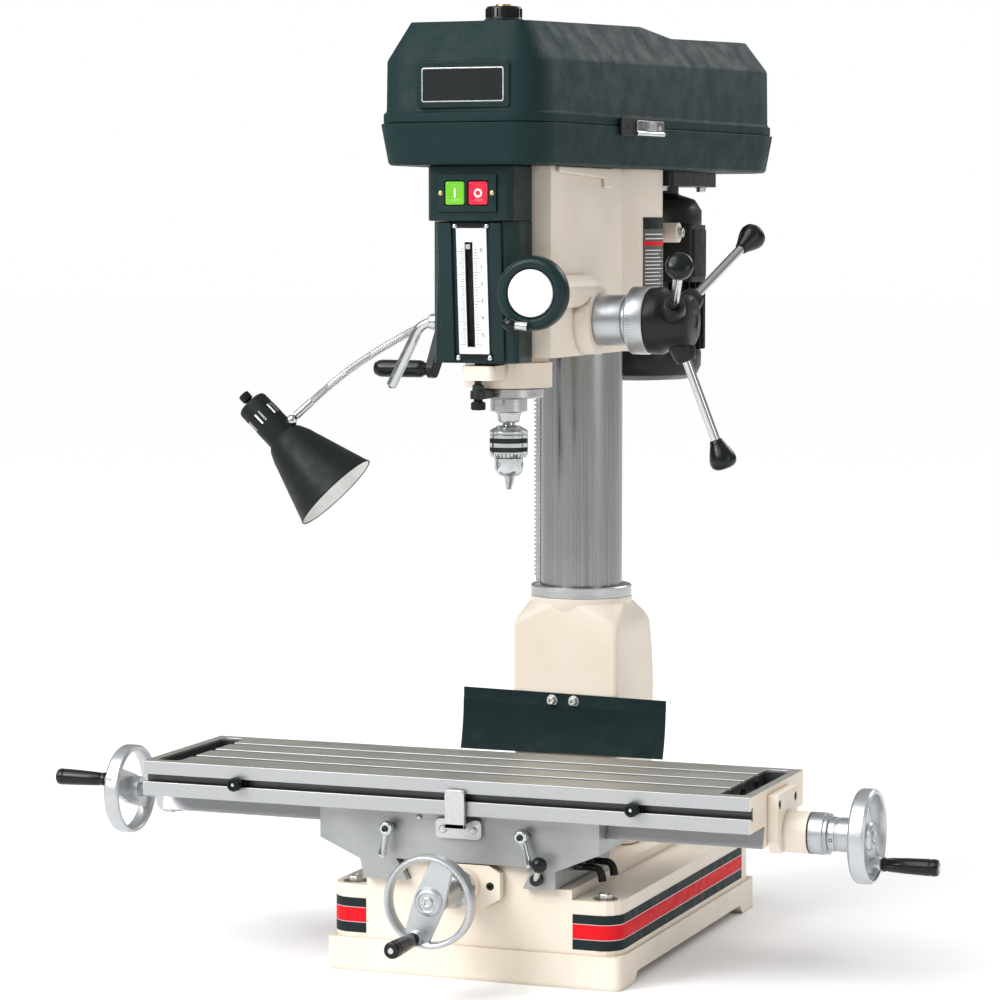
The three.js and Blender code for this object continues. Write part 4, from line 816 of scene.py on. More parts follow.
def feeds():
    axis = pivot("long_feed_turn")
    low, high = span("long_screw")
    screw = Shape()
    screw.rod((low.x, axis.y, axis.z), (high.x, axis.y, axis.z), 9.9, TURNED_X, 48)
    screw.finish("long_screw_look", "long_feed", "ground_steel", ["long_screw"], bevel=0.5)
    low, high = span("long_dial")
    dial = Shape()
    dial.turned([
        (10.4, 0), (25.5, 0), (27, 1.5), (27, 19), (26, 20), (25, 20.6), (25, 22.4), (26.6, 23.4), (26.6, 25),
        (22, 26), (22, 34), (20.6, 35), (20.6, 37), (22, 38), (22, high.x - low.x), (10.4, high.x - low.x),
    ], (low.x, axis.y, axis.z), RIGHT, TURNED_X, 80)
    graduations(dial, (low.x + 0.6, axis.y, axis.z), RIGHT, 27, 7, 60)
    for i in range(3):
        angle = TAU * (i + 0.6) / 3
        out = Vector((0, math.cos(angle), math.sin(angle)))
        centre = Vector((low.x + 30, axis.y, axis.z))
        set_screw = [(0, 19), (2.6, 19), (2.6, 22.3), (1.6, 22.3), (1.4, 21), (0, 21)]
        dial.turned(set_screw, centre, out, BLACKENED, 20)
    dial.finish("long_dial_look", "long_feed", "ground_steel", ["long_dial"], bevel=0.3)
    handwheel("right", "long_feed", RIGHT)
    handwheel("left", "long_feed", LEFT)
    axis = pivot("cross_feed_turn")
    low, high = span("cross_screw")
    screw = Shape()
    screw.rod((axis.x, low.y, axis.z), (axis.x, high.y, axis.z), 8.9, TURNED_Z, 48)
    screw.finish("cross_screw_look", "cross_feed", "ground_steel", ["cross_screw"], bevel=0.5)
    low, high = span("cross_dial")
    dial = Shape()
    dial.turned([
        (9.4, 0), (22.5, 0), (24, 1.5), (24, 19), (23, 20), (22, 20.6), (22, 22.4), (23.6, 23.4), (23.6, 25),
        (18, 26), (18, high.y - low.y), (9.4, high.y - low.y),
    ], (axis.x, high.y, axis.z), FRONT, TURNED_Z, 80)
    graduations(dial, (axis.x, high.y - 0.6, axis.z), FRONT, 24, 7, 50)
    dial.finish("cross_dial_look", "cross_feed", "ground_steel", ["cross_dial"], bevel=0.3)
    handwheel("cross", "cross_feed", FRONT)


# Head


def head():
    refine("head_casting", IVORY, 3.0)
    top = span("belt_tray")[0].z - 0.3
    side = 85.0
    trim = Shape()
    trim.prism([
        (-336, top), (-336, top - 8), (-160, top - 14), (-160, top - 27), (-130, top - 27), (-130, top),
    ], "x", side - 1, side + 5, IVORY)
    trim.finish("head_ribs", "head", "ivory_paint", bevel=2, segments=3)
    clamp = Shape()
    clamp.screw((117, 80, 975), RIGHT, 7, 7, ZINC)
    clamp.finish("head_clamp_bolts", "head", "chrome", bevel=0.4)
    chart()


def chart():
    """A speed chart of plain rows and a red line, wrapped round the barrel's right side."""
    shape = Shape()

    def patch(first, last, bottom, top, proud, finish):
        rings = []
        for i in range(13):
            a = math.radians(first + (last - first) * i / 12)
            rings.append([
                (r * math.cos(a), r * math.sin(a), z)
                for r, z in ((112.5, bottom), (113.2 + proud, bottom), (113.2 + proud, top), (112.5, top))
            ])
        shape.skin(rings, finish)

    patch(-22, 36, 896, 996, 0.5, CHART)
    patch(-22, 36, 980, 996, 0.7, MATT)
    patch(-22, 36, 957, 963, 0.7, STRIPE_RED)
    for row in range(11):
        z = 899 + row * 5.1
        patch(-20, (row * 5) % 9, z, z + 1.2, 0.65, WHITE)
        patch(12, 32, z, z + 1.2, 0.65, WHITE)
    for row in range(2):
        patch(-20, 20, 966 + row * 6, 967.4 + row * 6, 0.65, WHITE)
    shape.finish("speed_chart", "head", "black_paint", bevel=0)


def cover_line(z):
    """How far forward the front cover's face stands at a height."""
    bottom, top = span("front_cover")
    return -397 - 14 * (z - bottom.z) / (top.z - bottom.z)


def slab(shape, x0, x1, z0, z1, proud, finish):
    """A flat plate that lies along the cover's leaning face."""
    lower, upper = cover_line(z0), cover_line(z1)
    corners = [(lower + 2, z0), (lower - proud, z0), (upper - proud, z1), (upper + 2, z1)]
    shape.prism(corners, "x", x0, x1, finish)


def front_cover():
    refine("front_cover", GREEN_SMOOTH, 2.2)
    low, high = span("front_cover")
    middle = (low.x + high.x) / 2
    panels = Shape()
    slab(panels, low.x + 13, middle - 27, low.z + 3, high.z - 2, 4.5, GREEN_SMOOTH)
    slab(panels, middle + 27, high.x - 17, low.z + 3, high.z - 2, 4.5, GREEN_SMOOTH)
    slab(panels, middle - 27.5, middle + 27.5, high.z - 9, high.z - 2, 3.0, MATT)
    panels.finish("cover_flanks", "head", "green_paint", bevel=1.6, segments=3)
    plate = Shape()
    bottom, top = span("scale_plate")
    slot_x, slot = -10.0, 5.4
    slab(plate, bottom.x, slot_x - slot, bottom.z, top.z, 2.0, PLATE)
    slab(plate, slot_x + slot, top.x, bottom.z, top.z, 2.0, PLATE)
    slab(plate, slot_x - slot, slot_x + slot, bottom.z, bottom.z + 9, 2.0, PLATE)
    slab(plate, slot_x - slot, slot_x + slot, top.z - 18, top.z, 2.0, PLATE)
    slab(plate, bottom.x - 2.5, top.x + 2.5, bottom.z - 6, bottom.z - 0.5, 2.4, MATT)
    for side, count in ((-1, 42), (1, 34)):
        edge = slot_x + side * 5.6
        for i in range(count):
            z = bottom.z + 12 + i * (top.z - bottom.z - 36) / count
            reach = 8 if i % 5 == 0 else 4.4
            x0, x1 = sorted((edge + side * 1.2, edge + side * (1.2 + reach)))
            slab(plate, x0, x1, z, z + 0.45, 2.12, MATT)
    plate.finish("scale_plate_look", "head", "ground_steel", ["scale_plate"], bevel=0.15)
    numerals(slot_x + 17, top.z)
    screws = Shape()
    for x in (bottom.x - 1, top.x + 1):
        for z in (bottom.z - 5, high.z - 6):
            screws.turned([(0, 0), (3.4, 0), (3.2, 1.2), (1.6, 2.2), (0, 2.4)],
                          (x, cover_line(z) - 2.6, z), (0, -1, 0.07), CHROME, 28)
    screws.finish("scale_screws", "head", "chrome", bevel=0)


def numerals(x, top):
    """The scale's numbers, every unit from 0 down, as thin raised figures."""
    for i in range(6):
        z = top - 30 - i * 22
        text = bpy.data.curves.new(f"numeral_{i}", "FONT")
        text.body = str(i)
        text.size = 6.5 * MM
        text.extrude = 0.08 * MM
        text.align_x = "CENTER"
        figure = bpy.data.objects.new(f"scale_numeral_{i}", text)
        figure.location = Vector((x, cover_line(z) - 2.06, z)) * MM
        figure.rotation_euler = (math.radians(94.4), 0, 0)
        bpy.context.scene.collection.objects.link(figure)
        bpy.context.view_layer.update()
        data = bpy.data.meshes.new_from_object(figure)
        data.transform(figure.matrix_world)
        data.materials.clear()
        data.materials.append(MATT)
        piece = bpy.data.objects.new(f"numeral_{i}", data)
        bpy.data.objects.remove(figure)
        bpy.context.scene.collection.objects.link(piece)
        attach(piece, "head")


def switch_box():
    refine("switch_box", GREEN_SMOOTH, 1.6, merge=False)
    front = span("switch_box")[0].y
    start, start_high = span("start_button")
    stop, stop_high = span("stop_button")
    bezel = Shape()
    bottom, top = start.z - 9, start_high.z + 9
    left, right = start.x - 12, stop_high.x + 12
    middle = (start_high.x + stop.x) / 2
    for x0, x1, hole, far in ((left, middle, start, start_high), (middle, right, stop, stop_high)):
        margin = 1.3
        outer = rounded(x0, x1, bottom, top, 1.2)
        inner = rounded(hole.x - margin, far.x + margin, hole.z - margin, far.z + margin, 3)
        bezel.skin([
            [(x, y, z) for x, z in outline]
            for outline, y in ((outer, front - 3.4), (inner, front - 3.4), (inner, front + 1), (outer, front + 1))
        ], GREEN_SMOOTH, looped=True)
    bezel.finish("switch_bezel", "head", "green_paint", bevel=0.5)
    screws = Shape()
    for x in (left + 5.4, right - 5.4):
        dome = [(0, 0), (3.2, 0), (3, 1), (1.4, 1.9), (0, 2)]
        screws.turned(dome, (x, front - 3.2, (bottom + top) / 2), FRONT, BRASS, 28)
    screws.finish("switch_screws", "head", "chrome", bevel=0)
    for name, slot, finish, low, high in (
        ("start_button", "green_button", GO, start, start_high),
        ("stop_button", "red_button", HALT, stop, stop_high),
    ):
        shape = Shape()
        cx, cz = (low.x + high.x) / 2, (low.z + high.z) / 2
        rings = []
        for y, inset in (
            (high.y, 0), (low.y + 1.2, 0), (low.y + 0.2, 1.0), (low.y, 2.4), (low.y + 1.0, 6.5), (low.y + 1.3, 9),
        ):
            corner = max(3 - inset * 0.2, 0.8)
            outline = rounded(low.x + inset, high.x - inset, low.z + inset, high.z - inset, corner)
            rings.append([(x, y, z) for x, z in outline])
        shape.skin(rings, finish)
        if name == "start_button":
            shape.box((cx - 1.1, low.y + 0.7, cz - 6), (cx + 1.1, low.y + 1.8, cz + 6), WHITE)
        else:
            shape.turned([(3.4, 0), (5.6, 0), (5.6, 1.1), (3.4, 1.1)], (cx, low.y + 1.8, cz), FRONT, WHITE, 48)
        shape.finish(f"{name}_look", name, slot, [name], bevel=0)


COVER_PLAN = [
    (-94, -437), (64, -442), (86, -428), (97, -402), (176, 285), (168, 342), (132, 398),
    (-104, 412), (-140, 374), (-147, 320), (-128, -394), (-117, -424),
]
STEP_START, STEP_END, STEP_DROP = -62.0, 40.0, 14.0
CREASE, CREASE_RISE = 1198.0, 0.017
ROOF, ROOF_RISE = 1246.0, 0.0265
COVER_FRONT, COVER_CORNER = -437.0, 14.0


def cover_outline(grow):
    """The cover's plan grown outwards, its corners rounded, with points where the roof steps down."""
    corners = []
    for before, here, after in zip(COVER_PLAN[-1:] + COVER_PLAN, COVER_PLAN, COVER_PLAN[1:] + COVER_PLAN[:1]):
        into, out = (Vector(here) - Vector(before)).normalized(), (Vector(after) - Vector(here)).normalized()
        first, second = Vector((into.y, -into.x)), Vector((out.y, -out.x))
        corners.append(Vector(here) + (first + second) * grow / (1 + first.dot(second)))
    line = []
    for before, here, after in zip(corners[-1:] + corners, corners, corners[1:] + corners[:1]):
        start, end = (
            here + (other - here) * min(0.45, COVER_CORNER / (other - here).length) for other in (before, after)
        )
        for i in range(5):
            t = i / 4
            line.append(start * (1 - t) ** 2 + here * 2 * t * (1 - t) + end * t ** 2)
    full = []
    for here, after in zip(line, line[1:] + line[:1]):
        full.append(here)
        crossed = [y for y in (STEP_START, STEP_END) if (here.y - y) * (after.y - y) < 0]
        for y in sorted(crossed, reverse=here.y > after.y):
            full.append(here + (after - here) * (y - here.y) / (after.y - here.y))
    return [tuple(point) for point in full]


def crease_at(y):
    return CREASE + CREASE_RISE * (y - COVER_FRONT)


def roof_at(y):
    """The roof rises slowly to the back, with a sloping step down halfway."""
    drop = STEP_DROP * min(max((y - STEP_START) / (STEP_END - STEP_START), 0), 1)
    return ROOF + ROOF_RISE * (y - COVER_FRONT) - drop


def sloped(grow, level, up):
    """The cover's outline at a level that changes along the cover."""
    return [(x, y, level(y) + up) for x, y in cover_outline(grow)]


def roof(shape, ring):
    """Closes a lid's ring of points with a level front, a sloping step and a level back."""
    edge = 0.01
    front = [v for v in ring if v.co.y <= STEP_START + edge]
    back = [v for v in ring if v.co.y >= STEP_END - edge]
    step = [v for v in ring if STEP_START - edge <= v.co.y <= STEP_END + edge]
    for points in (front, step, back):
        shape.mesh.faces.new(points)


def belt_cover():
    """Tray and lid as shells of even thickness; the lid hinges on the left."""
    low, high = span("belt_tray")
    tray = Shape()
    tray.skin([outline_at(z, cover_outline(grow)) for grow, z in (
        (-4, low.z + 3.4), (5, high.z), (8, high.z), (9, high.z - 1), (8.6, high.z - 4), (0, low.z + 3),
        (-3, low.z),
    )], GREEN)
    tray.finish("belt_tray_look", "head", "green_paint", ["belt_tray"], bevel=0.8, smooth=24, segments=2)
    low, high = span("belt_lid")
    lid = Shape()
    inside = [sloped(-32, roof_at, -3), sloped(-2, crease_at, -2)]
    lip = [outline_at(low.z + z, cover_outline(grow)) for grow, z in (
        (2, 0), (5, 0), (6, 1), (6, 12), (3, 14), (2, 17),
    )]
    outside = [sloped(1, crease_at, -3), sloped(-0.6, crease_at, 1), sloped(-30, roof_at, 0)]
    rings = [*inside, *lip, *outside]
    lid.skin(rings, GREEN, capped=False)
    lid.mesh.verts.ensure_lookup_table()
    count = len(rings[0])
    roof(lid, lid.mesh.verts[:count])
    roof(lid, lid.mesh.verts[-count:])
    lid.finish("belt_lid_look", "lid", "green_paint", ["belt_lid"], bevel=2.5, smooth=24, segments=3)
    trim = Shape()
    middle = Vector((-7, pivot("spindle_spin").y, 0))
    top = roof_at(middle.y)
    cap = [
        (0, top - 3), (27, top - 3), (27, top + 4), (24.5, top + 6), (23.5, top + 8), (23.5, high.z - 5.5),
        (22, high.z - 3), (13, high.z - 2.6), (0, high.z - 2.6),
    ]
    trim.turned(cap, middle, UP, KNOB, 64)
    for out in spokes(24):
        spot = middle + out * 23.3
        trim.rod(at(spot, 0, 0, top + 8), at(spot, 0, 0, high.z - 6), 1.3, KNOB, 10)
    trim.turned([(0, high.z - 3), (11, high.z - 3), (10.5, high.z), (0, high.z)], middle, UP, BRASS, 40)
    trim.finish("lid_cap", "lid", "black_plastic", bevel=0.6)
    badge = Shape()
    badge.prism(rounded(-68, 59, 1135, 1193, 4), "y", -445.4, -436, GREEN_SMOOTH)
    badge.prism(rounded(-61, 52, 1142, 1186, 3), "y", -446.1, -440, ZINC)
    badge.prism(rounded(-59.4, 50.4, 1143.6, 1184.4, 2), "y", -446.5, -441, MATT)
    badge.finish("lid_badge", "lid", "green_paint", bevel=0.6, segments=3)


def latch():
    """A draw latch along the cover's leaning side, made level and then turned to it."""
    low, high = span("lid_latch")
    shape = Shape()
    shape.prism(rounded(-85, 46, low.z, high.z, 3), "x", 0, 3.6, BLACKENED)
    shape.prism(rounded(-42, 44, low.z + 3, high.z - 3, 3), "x", 3, 6.4, CHROME)
    shape.rod((5, -42, low.z + 4), (5, 44, low.z + 4), 3.2, CHROME)
    shape.prism(rounded(-6, 16, low.z + 8, high.z - 5, 2), "x", 6, 8.6, ZINC)
    rivet, level = [(0, 0), (3.4, 0), (3, 1.6), (0, 2)], (low.z + high.z) / 2
    shape.turned(rivet, (6, 30, level), RIGHT, ZINC, 24)
    shape.turned(rivet, (3, -64, level), RIGHT, BLACKENED, 24)
    axis = Vector(JOINTS["latch_turn"]["axis"])
    lean = Vector((0, 1, 0)).rotation_difference(axis).to_matrix()
    bmesh.ops.rotate(shape.mesh, cent=(0, 0, 0), matrix=lean, verts=shape.mesh.verts)
    place = pivot("latch_turn") + lean @ Vector((-3, 0, 0))
    bmesh.ops.translate(shape.mesh, vec=(place.x, place.y, 0), verts=shape.mesh.verts)
    shape.finish("lid_latch_look", "latch", "chrome", ["lid_latch"], bevel=0.5, segments=3)


def belt_drive():
    for name in ("spindle_pulley", "idler_pulley", "motor_pulley"):
        refine(name, ALLOY, 0.6, 2)
    for name in ("front_belt", "rear_belt"):
        refine(name, BELT, 1.0, 2)


def motor():
    """Can with cooling ribs, end bells, terminal box and the plate it hangs from."""
    low, high = span("motor")
    axis = pivot("motor_spin")
    radius, under = 100.0, low.z + 282.5
    foot = Vector((axis.x, axis.y, low.z))
    neck = 1001 - low.z
    shape = Shape()
    shape.turned([
        (0, 0), (40, 0), (44, 2), (74, 2), (88, 9), (94, 22), (94, 40), (93, 44), (93, 222), (94, 226), (94, 248),
        (84, 264), (60, 272), (60, 284), (26, 284), (26, neck), (0, neck),
    ], foot, UP, BLACK, 96)
    for out in spokes(40, TAU / 80):
        shape.rib(foot, out, 89, ((46, 1.4, radius), (220, 1.4, radius)), BLACK)
    shape.finish("motor_can", "head", "black_paint", bevel=1.2)
    plate = Shape()
    plate.prism(rounded(low.x + 12, high.x - 12, 112, 330, 10), "z", under, high.z, BLACK)
    plate.prism(rounded(58, 108, axis.y - 80, axis.y - 8, 5), "z", 904, 986, BLACK)
    plate.prism(rounded(70, 111, axis.y - 74, axis.y - 14, 4), "z", 911, 979, MATT)
    for y in (130, 312):
        for x in (-76, 76):
            plate.screw((x, y, under), DOWN, 7, 7, ZINC)
    plate.finish("motor_plate", "head", "black_paint", ["motor"], bevel=1.2)


# Quill, spindle and chuck


def quill():
    axis = pivot("spindle_spin")
    low, high = span("quill")
    nose = Vector((axis.x, axis.y, low.z))
    length = high.z - low.z
    tube = Shape()
    tube.turned([(20.4, 0), (36.2, 0), (37.5, 1.4), (37.5, length), (20.4, length)], nose, UP, TURNED_Z, 96)
    tube.finish("quill_look", "quill", "ground_steel", ["quill"], bevel=0)
    stop = Shape()
    collar = [(37.8, 0), (45.5, 0), (47, 1.5), (47, 11.6), (46, 12.8), (37.8, 12.8)]
    stop.turned(collar, nose, UP, TURNED_Z, 96)
    foot = Vector((-10, -376, nose.z))
    arm = capsule((-16, -338), 13, (foot.x, foot.y), 10.5)
    stop.prism(arm, "z", nose.z + 1.4, nose.z + 12.2, BLACKENED)
    stop.rod(at(foot, 0, 0, -5), (foot.x, foot.y, 966), 4.6, BLACKENED, 32)
    thread = [(4.6, -12)]
    for i in range(20):
        z = 13 + i * 1.5
        thread += [(4.7, z), (5.2, z + 0.7)]
    stop.turned([(0, -14), *thread, (0, 43)], foot, UP, BLACKENED, 32)
    knob = [(0, -13), (8.6, -13), (9.8, -11.6), (9.8, -4), (8.6, -2.6), (6, -2), (6, 1.4), (0, 1.4)]
    stop.turned(knob, foot, UP, MATT, 12)
    stop.turned([(0, 12.2), (8.4, 12.2), (8.4, 19), (7.4, 20.2), (0, 20.2)], foot, UP, BLACKENED, 6)
    stop.box((foot.x - 3, -413.6, 954), (foot.x + 3, foot.y, 960), ZINC)
    stop.finish("depth_stop_look", "quill", "ground_steel", ["depth_stop"], bevel=0.3)


def chuck():
    axis = pivot("spindle_spin")
    low, high = span("spindle")
    length, shoulder = high.z - low.z, 998 - low.z
    shaft = Shape()
    shaft.turned([
        (0, 0), (13, 0), (14.5, 1.5), (15, 8), (17, 12), (17.4, 13), (24.5, 15), (24.5, 31), (23.6, 32.4),
        (20, 32.6), (20, shoulder), (12, shoulder), (12, length - 1), (11, length), (0, length),
    ], (axis.x, axis.y, low.z), UP, TURNED_Z, 80)
    splines = Vector((axis.x, axis.y, 1030))
    for out in spokes(6):
        shaft.rod(splines + out * 6, splines + out * 12.5, 1.8, STEEL, 12)
    shaft.finish("spindle_look", "spindle", "ground_steel", ["spindle"], bevel=0.3)
    foot = Vector((axis.x, axis.y, span("chuck_body")[0].z))
    body = Shape()
    body.turned([
        (0, 19), (13.4, 19), (16, 21.5), (18.6, 26), (18.9, 28), (18.9, 42), (17.5, 43), (17.5, 74.2), (24.6, 74.2),
        (25.4, 75.2), (25.4, 78), (24, 79.6), (15, 85), (8.5, 86), (8.2, 92), (0, 92),
    ], foot, UP, CHROME, 80)
    for jaw, hole in zip(spokes(3, math.radians(20)), spokes(3, math.radians(245))):
        aside = Vector((-jaw.y, jaw.x, 0))
        body.skin([
            [at(foot + jaw * near + aside * half, 0, 0, z) for near, half in (
                (root, -wide * 0.3), (tip * 0.7, -wide), (tip, -wide * 0.5),
                (tip, wide * 0.5), (tip * 0.7, wide), (root, wide * 0.3),
            )]
            for z, root, tip, wide in (
                (24, 0.8, 9.6, 3.3), (14, 0.8, 7.4, 3.3), (1, 0.7, 3.6, 2.2), (0, 0.7, 2.8, 1.7),
            )
        ], STEEL)
        socket = [(0, 0), (3.1, 0), (3.1, 0.9), (2.4, 0.9), (2.2, 0.3), (0, 0.3)]
        body.turned(socket, at(foot + hole * 18.3, 0, 0, 34), hole, BLACKENED, 28)
    body.finish("chuck_body_look", "spindle", "chrome", ["chuck_body"], bevel=0.3)


def sleeve():
    """The chuck's turning sleeve: gear teeth below, and knurled bands between bright ones."""
    axis = pivot("spindle_spin")
    low, high = span("chuck_sleeve")
    foot = Vector((axis.x, axis.y, low.z))
    made = Shape()
    for bottom, top, radius, finish in (
        (5, 8.4, 25.4, CHROME), (8.4, 13.6, 24.9, BLACKENED), (13.6, 20, 25.6, CHROME),
        (20, 25.6, 24.9, BLACKENED), (25.6, high.z - low.z, 25.4, CHROME),
    ):
        made.turned([
            (18.2, bottom), (radius - 0.6, bottom), (radius, bottom + 0.6), (radius, top - 0.6),
            (radius - 0.6, top), (18.2, top),
        ], foot, UP, finish, 80)
    for out in spokes(30):
        made.rib(foot, out, 19.2, ((5.4, 1.9, 25.2), (1.2, 1.2, 23.6), (0.4, 0.7, 22.6)), CHROME)
    for out in spokes(90):
        for bottom in (9, 20.6):
            spot = at(foot + out * 24.9, 0, 0, bottom)
            made.rod(spot, at(spot, 0, 0, 4.2), 0.55, BLACKENED, 5)
    made.finish("chuck_sleeve_look", "chuck_sleeve", "chrome", ["chuck_sleeve"], bevel=0)


# Controls on the head


def coarse_feed():
    axis = pivot("coarse_feed_turn")
    low, high = span("feed_dial")
    start = 107.3
    length = high.x - start
    dial = Shape()
    dial.rod((low.x, axis.y, axis.z), (start + 2, axis.y, axis.z), 13.8, STEEL, 40)
    dial.turned([
        (0, 0), (33.4, 0), (34, 0.8), (34, 37), (33.2, 38.4), (31, 39.2), (31, 44), (33, 45), (43.6, 46.6),
        (45, 48.4), (45, length - 2), (43.8, length), (0, length),
    ], (start, axis.y, axis.z), RIGHT, TURNED_X, 96)
    graduations(dial, (high.x - 22, axis.y, axis.z), RIGHT, 45, 8, 72)
    dial.finish("feed_dial_look", "coarse_feed", "alloy", ["feed_dial"], bevel=0.4)
    hub = Shape()
    hub.turned([
        (0, 0), (43, 0), (44.4, 2), (44.4, 17), (43, 20), (39.5, 24), (37, 34), (35.4, 48), (34, 55), (31, 58.6),
        (24, 60.4), (12, 61), (11, 59.4), (0, 59.4),
    ], (span("feed_hub")[0].x, axis.y, axis.z), RIGHT, BLACK, 96)
    root = Vector((208, axis.y, axis.z))
    tips = [root + Vector((63, 180 * out.x, 180 * out.y)) for out in spokes(3, math.radians(156.5))]
    boss = [(0, 8), (17.4, 8), (17.2, 40), (15.2, 50), (13.6, 55.6), (12.6, 57), (6.9, 57), (6.7, 52), (0, 52)]
    for tip in tips:
        hub.turned(boss, root, tip - root, BLACK, 48)
    hub.finish("feed_hub_look", "coarse_feed", "black_paint", ["feed_hub"], bevel=1.2, segments=3)
    clockwise = (tips[0], tips[2], tips[1])
    for i, tip in enumerate(clockwise):
        along = (tip - root).normalized()
        spoke = Shape()
        spoke.rod(root + along * 50, tip - along * 20, 6.2, CHROME, 40)
        spoke.turned([
            (0, -23), (7.6, -23), (8.6, -22), (9.4, -19), (12.2, -12), (15.6, -4), (17.6, 2), (18.1, 7), (17, 12),
            (13.6, 15.8), (8, 17.6), (0, 18),
        ], tip, along, KNOB, 64)
        spoke.finish(f"feed_spoke_{i + 1}_look", "coarse_feed", "chrome", [f"feed_spoke_{i + 1}"], bevel=0.3)


def fine_feed():
    """A dished wheel with a white face and a folding grip at its lower left."""
    axis = pivot("fine_feed_turn")
    high = span("fine_wheel")[1]
    back = -414.0
    place = (axis.x, back, axis.z)
    wheel = Shape()
    wheel.rod((axis.x, high.y, axis.z), at(place, 0, 2, 0), 7.9, STEEL, 32)
    wheel.turned([
        (0, 0), (17, 0), (19, 2), (24, 3.4), (42, 4.4), (46.6, 6.4), (48, 10), (48, 15), (47, 20), (45.6, 24),
        (42.4, 27), (38.6, 28.2), (35, 27.4), (32.6, 25), (31.6, 22), (0, 22),
    ], place, FRONT, GREEN_SMOOTH, 112)
    wheel.turned([(0, 21), (30.6, 21), (30.6, 25.4), (29.4, 26.6), (0, 27.4)], place, FRONT, WHITE, 96)
    wheel.finish("fine_wheel_look", "fine_feed", "green_paint", ["fine_wheel"], bevel=0.4)
    grip = Shape()
    gx, gz = axis.x - 6, axis.z - 42
    front = back - 28
    grip.turned([(0, 0), (8.4, 0), (8.4, 3), (6, 5), (0, 5)], (gx, front + 2, gz), FRONT, GREEN_SMOOTH, 40)
    grip.rod((gx + 5, front - 5.6, gz - 0.5), (gx - 16, front - 7.6, gz + 2), 5.6, CHROME, 40, 5.0)
    grip.turned([(0, -8.6), (5.6, -8), (8.2, -4), (8.6, 0), (8.2, 4), (5.6, 8), (0, 8.6)],
                (gx - 18, front - 7.4, gz + 2.2), (-1, 0, 0.12), KNOB, 48)
    grip.finish("fine_wheel_grip", "fine_feed", "black_plastic", bevel=0.3)


def lift():
    axis, pin = pivot("lift_crank_turn"), pivot("lift_grip_spin")
    low, high = span("lift_crank")
    shape = Shape()
    outline = capsule((axis.y, axis.z), 17, (pin.y, pin.z), 12.5, 20)
    shape.prism(outline, "x", -152, -140, BLACK)
    shape.turned([(0, 0), (17, 0), (16, 9), (13, 12), (0, 12)], (-136, axis.y, axis.z), LEFT, BLACK, 48)
    shape.rod((high.x, axis.y, axis.z), (-136, axis.y, axis.z), 8.8, STEEL, 32)
    shape.rod((-150, pin.y, pin.z), (low.x, pin.y, pin.z), 3.9, STEEL, 24)
    shape.finish("lift_crank_look", "lift", "black_paint", ["lift_crank"], bevel=2.0, segments=3)
    grip = Shape()
    grip.turned([
        (4.4, 0), (8.4, 0), (9, 3), (11.4, 7), (12, 12), (12, 62), (12, 66), (11, 71), (8.4, 76), (4.4, 76),
    ], (-154, pin.y, pin.z), LEFT, KNOB, 64)
    grip.finish("lift_grip_look", "lift_grip", "black_plastic", ["lift_grip"], bevel=0.4)


def quill_lock():
    axis = pivot("quill_lock_turn")
    face = -85.3
    shape = Shape()
    shape.turned([(0, 0), (11, 0), (11, 9), (9, 11.6), (0, 11.6)], (face, axis.y, axis.z), LEFT, CHROME, 48)
    bend = [(face - 2, 857), (-98, 856), (-112, 848), (-122, 830), (-137, 801), (-152, 772)]
    line = curve([(x, axis.y, z) for x, z in bend], 8)
    tail = line[-1] + (line[-1] - line[-2]).normalized() * 3.4
    shape.swept([*line, tail], [6.4 + 0.02 * i for i in range(len(line))] + [4.0], CHROME, 32)
    shape.finish("quill_lock_look", "quill_lock", "chrome", ["quill_lock"], bevel=0.8, segments=3)


# Work lamp


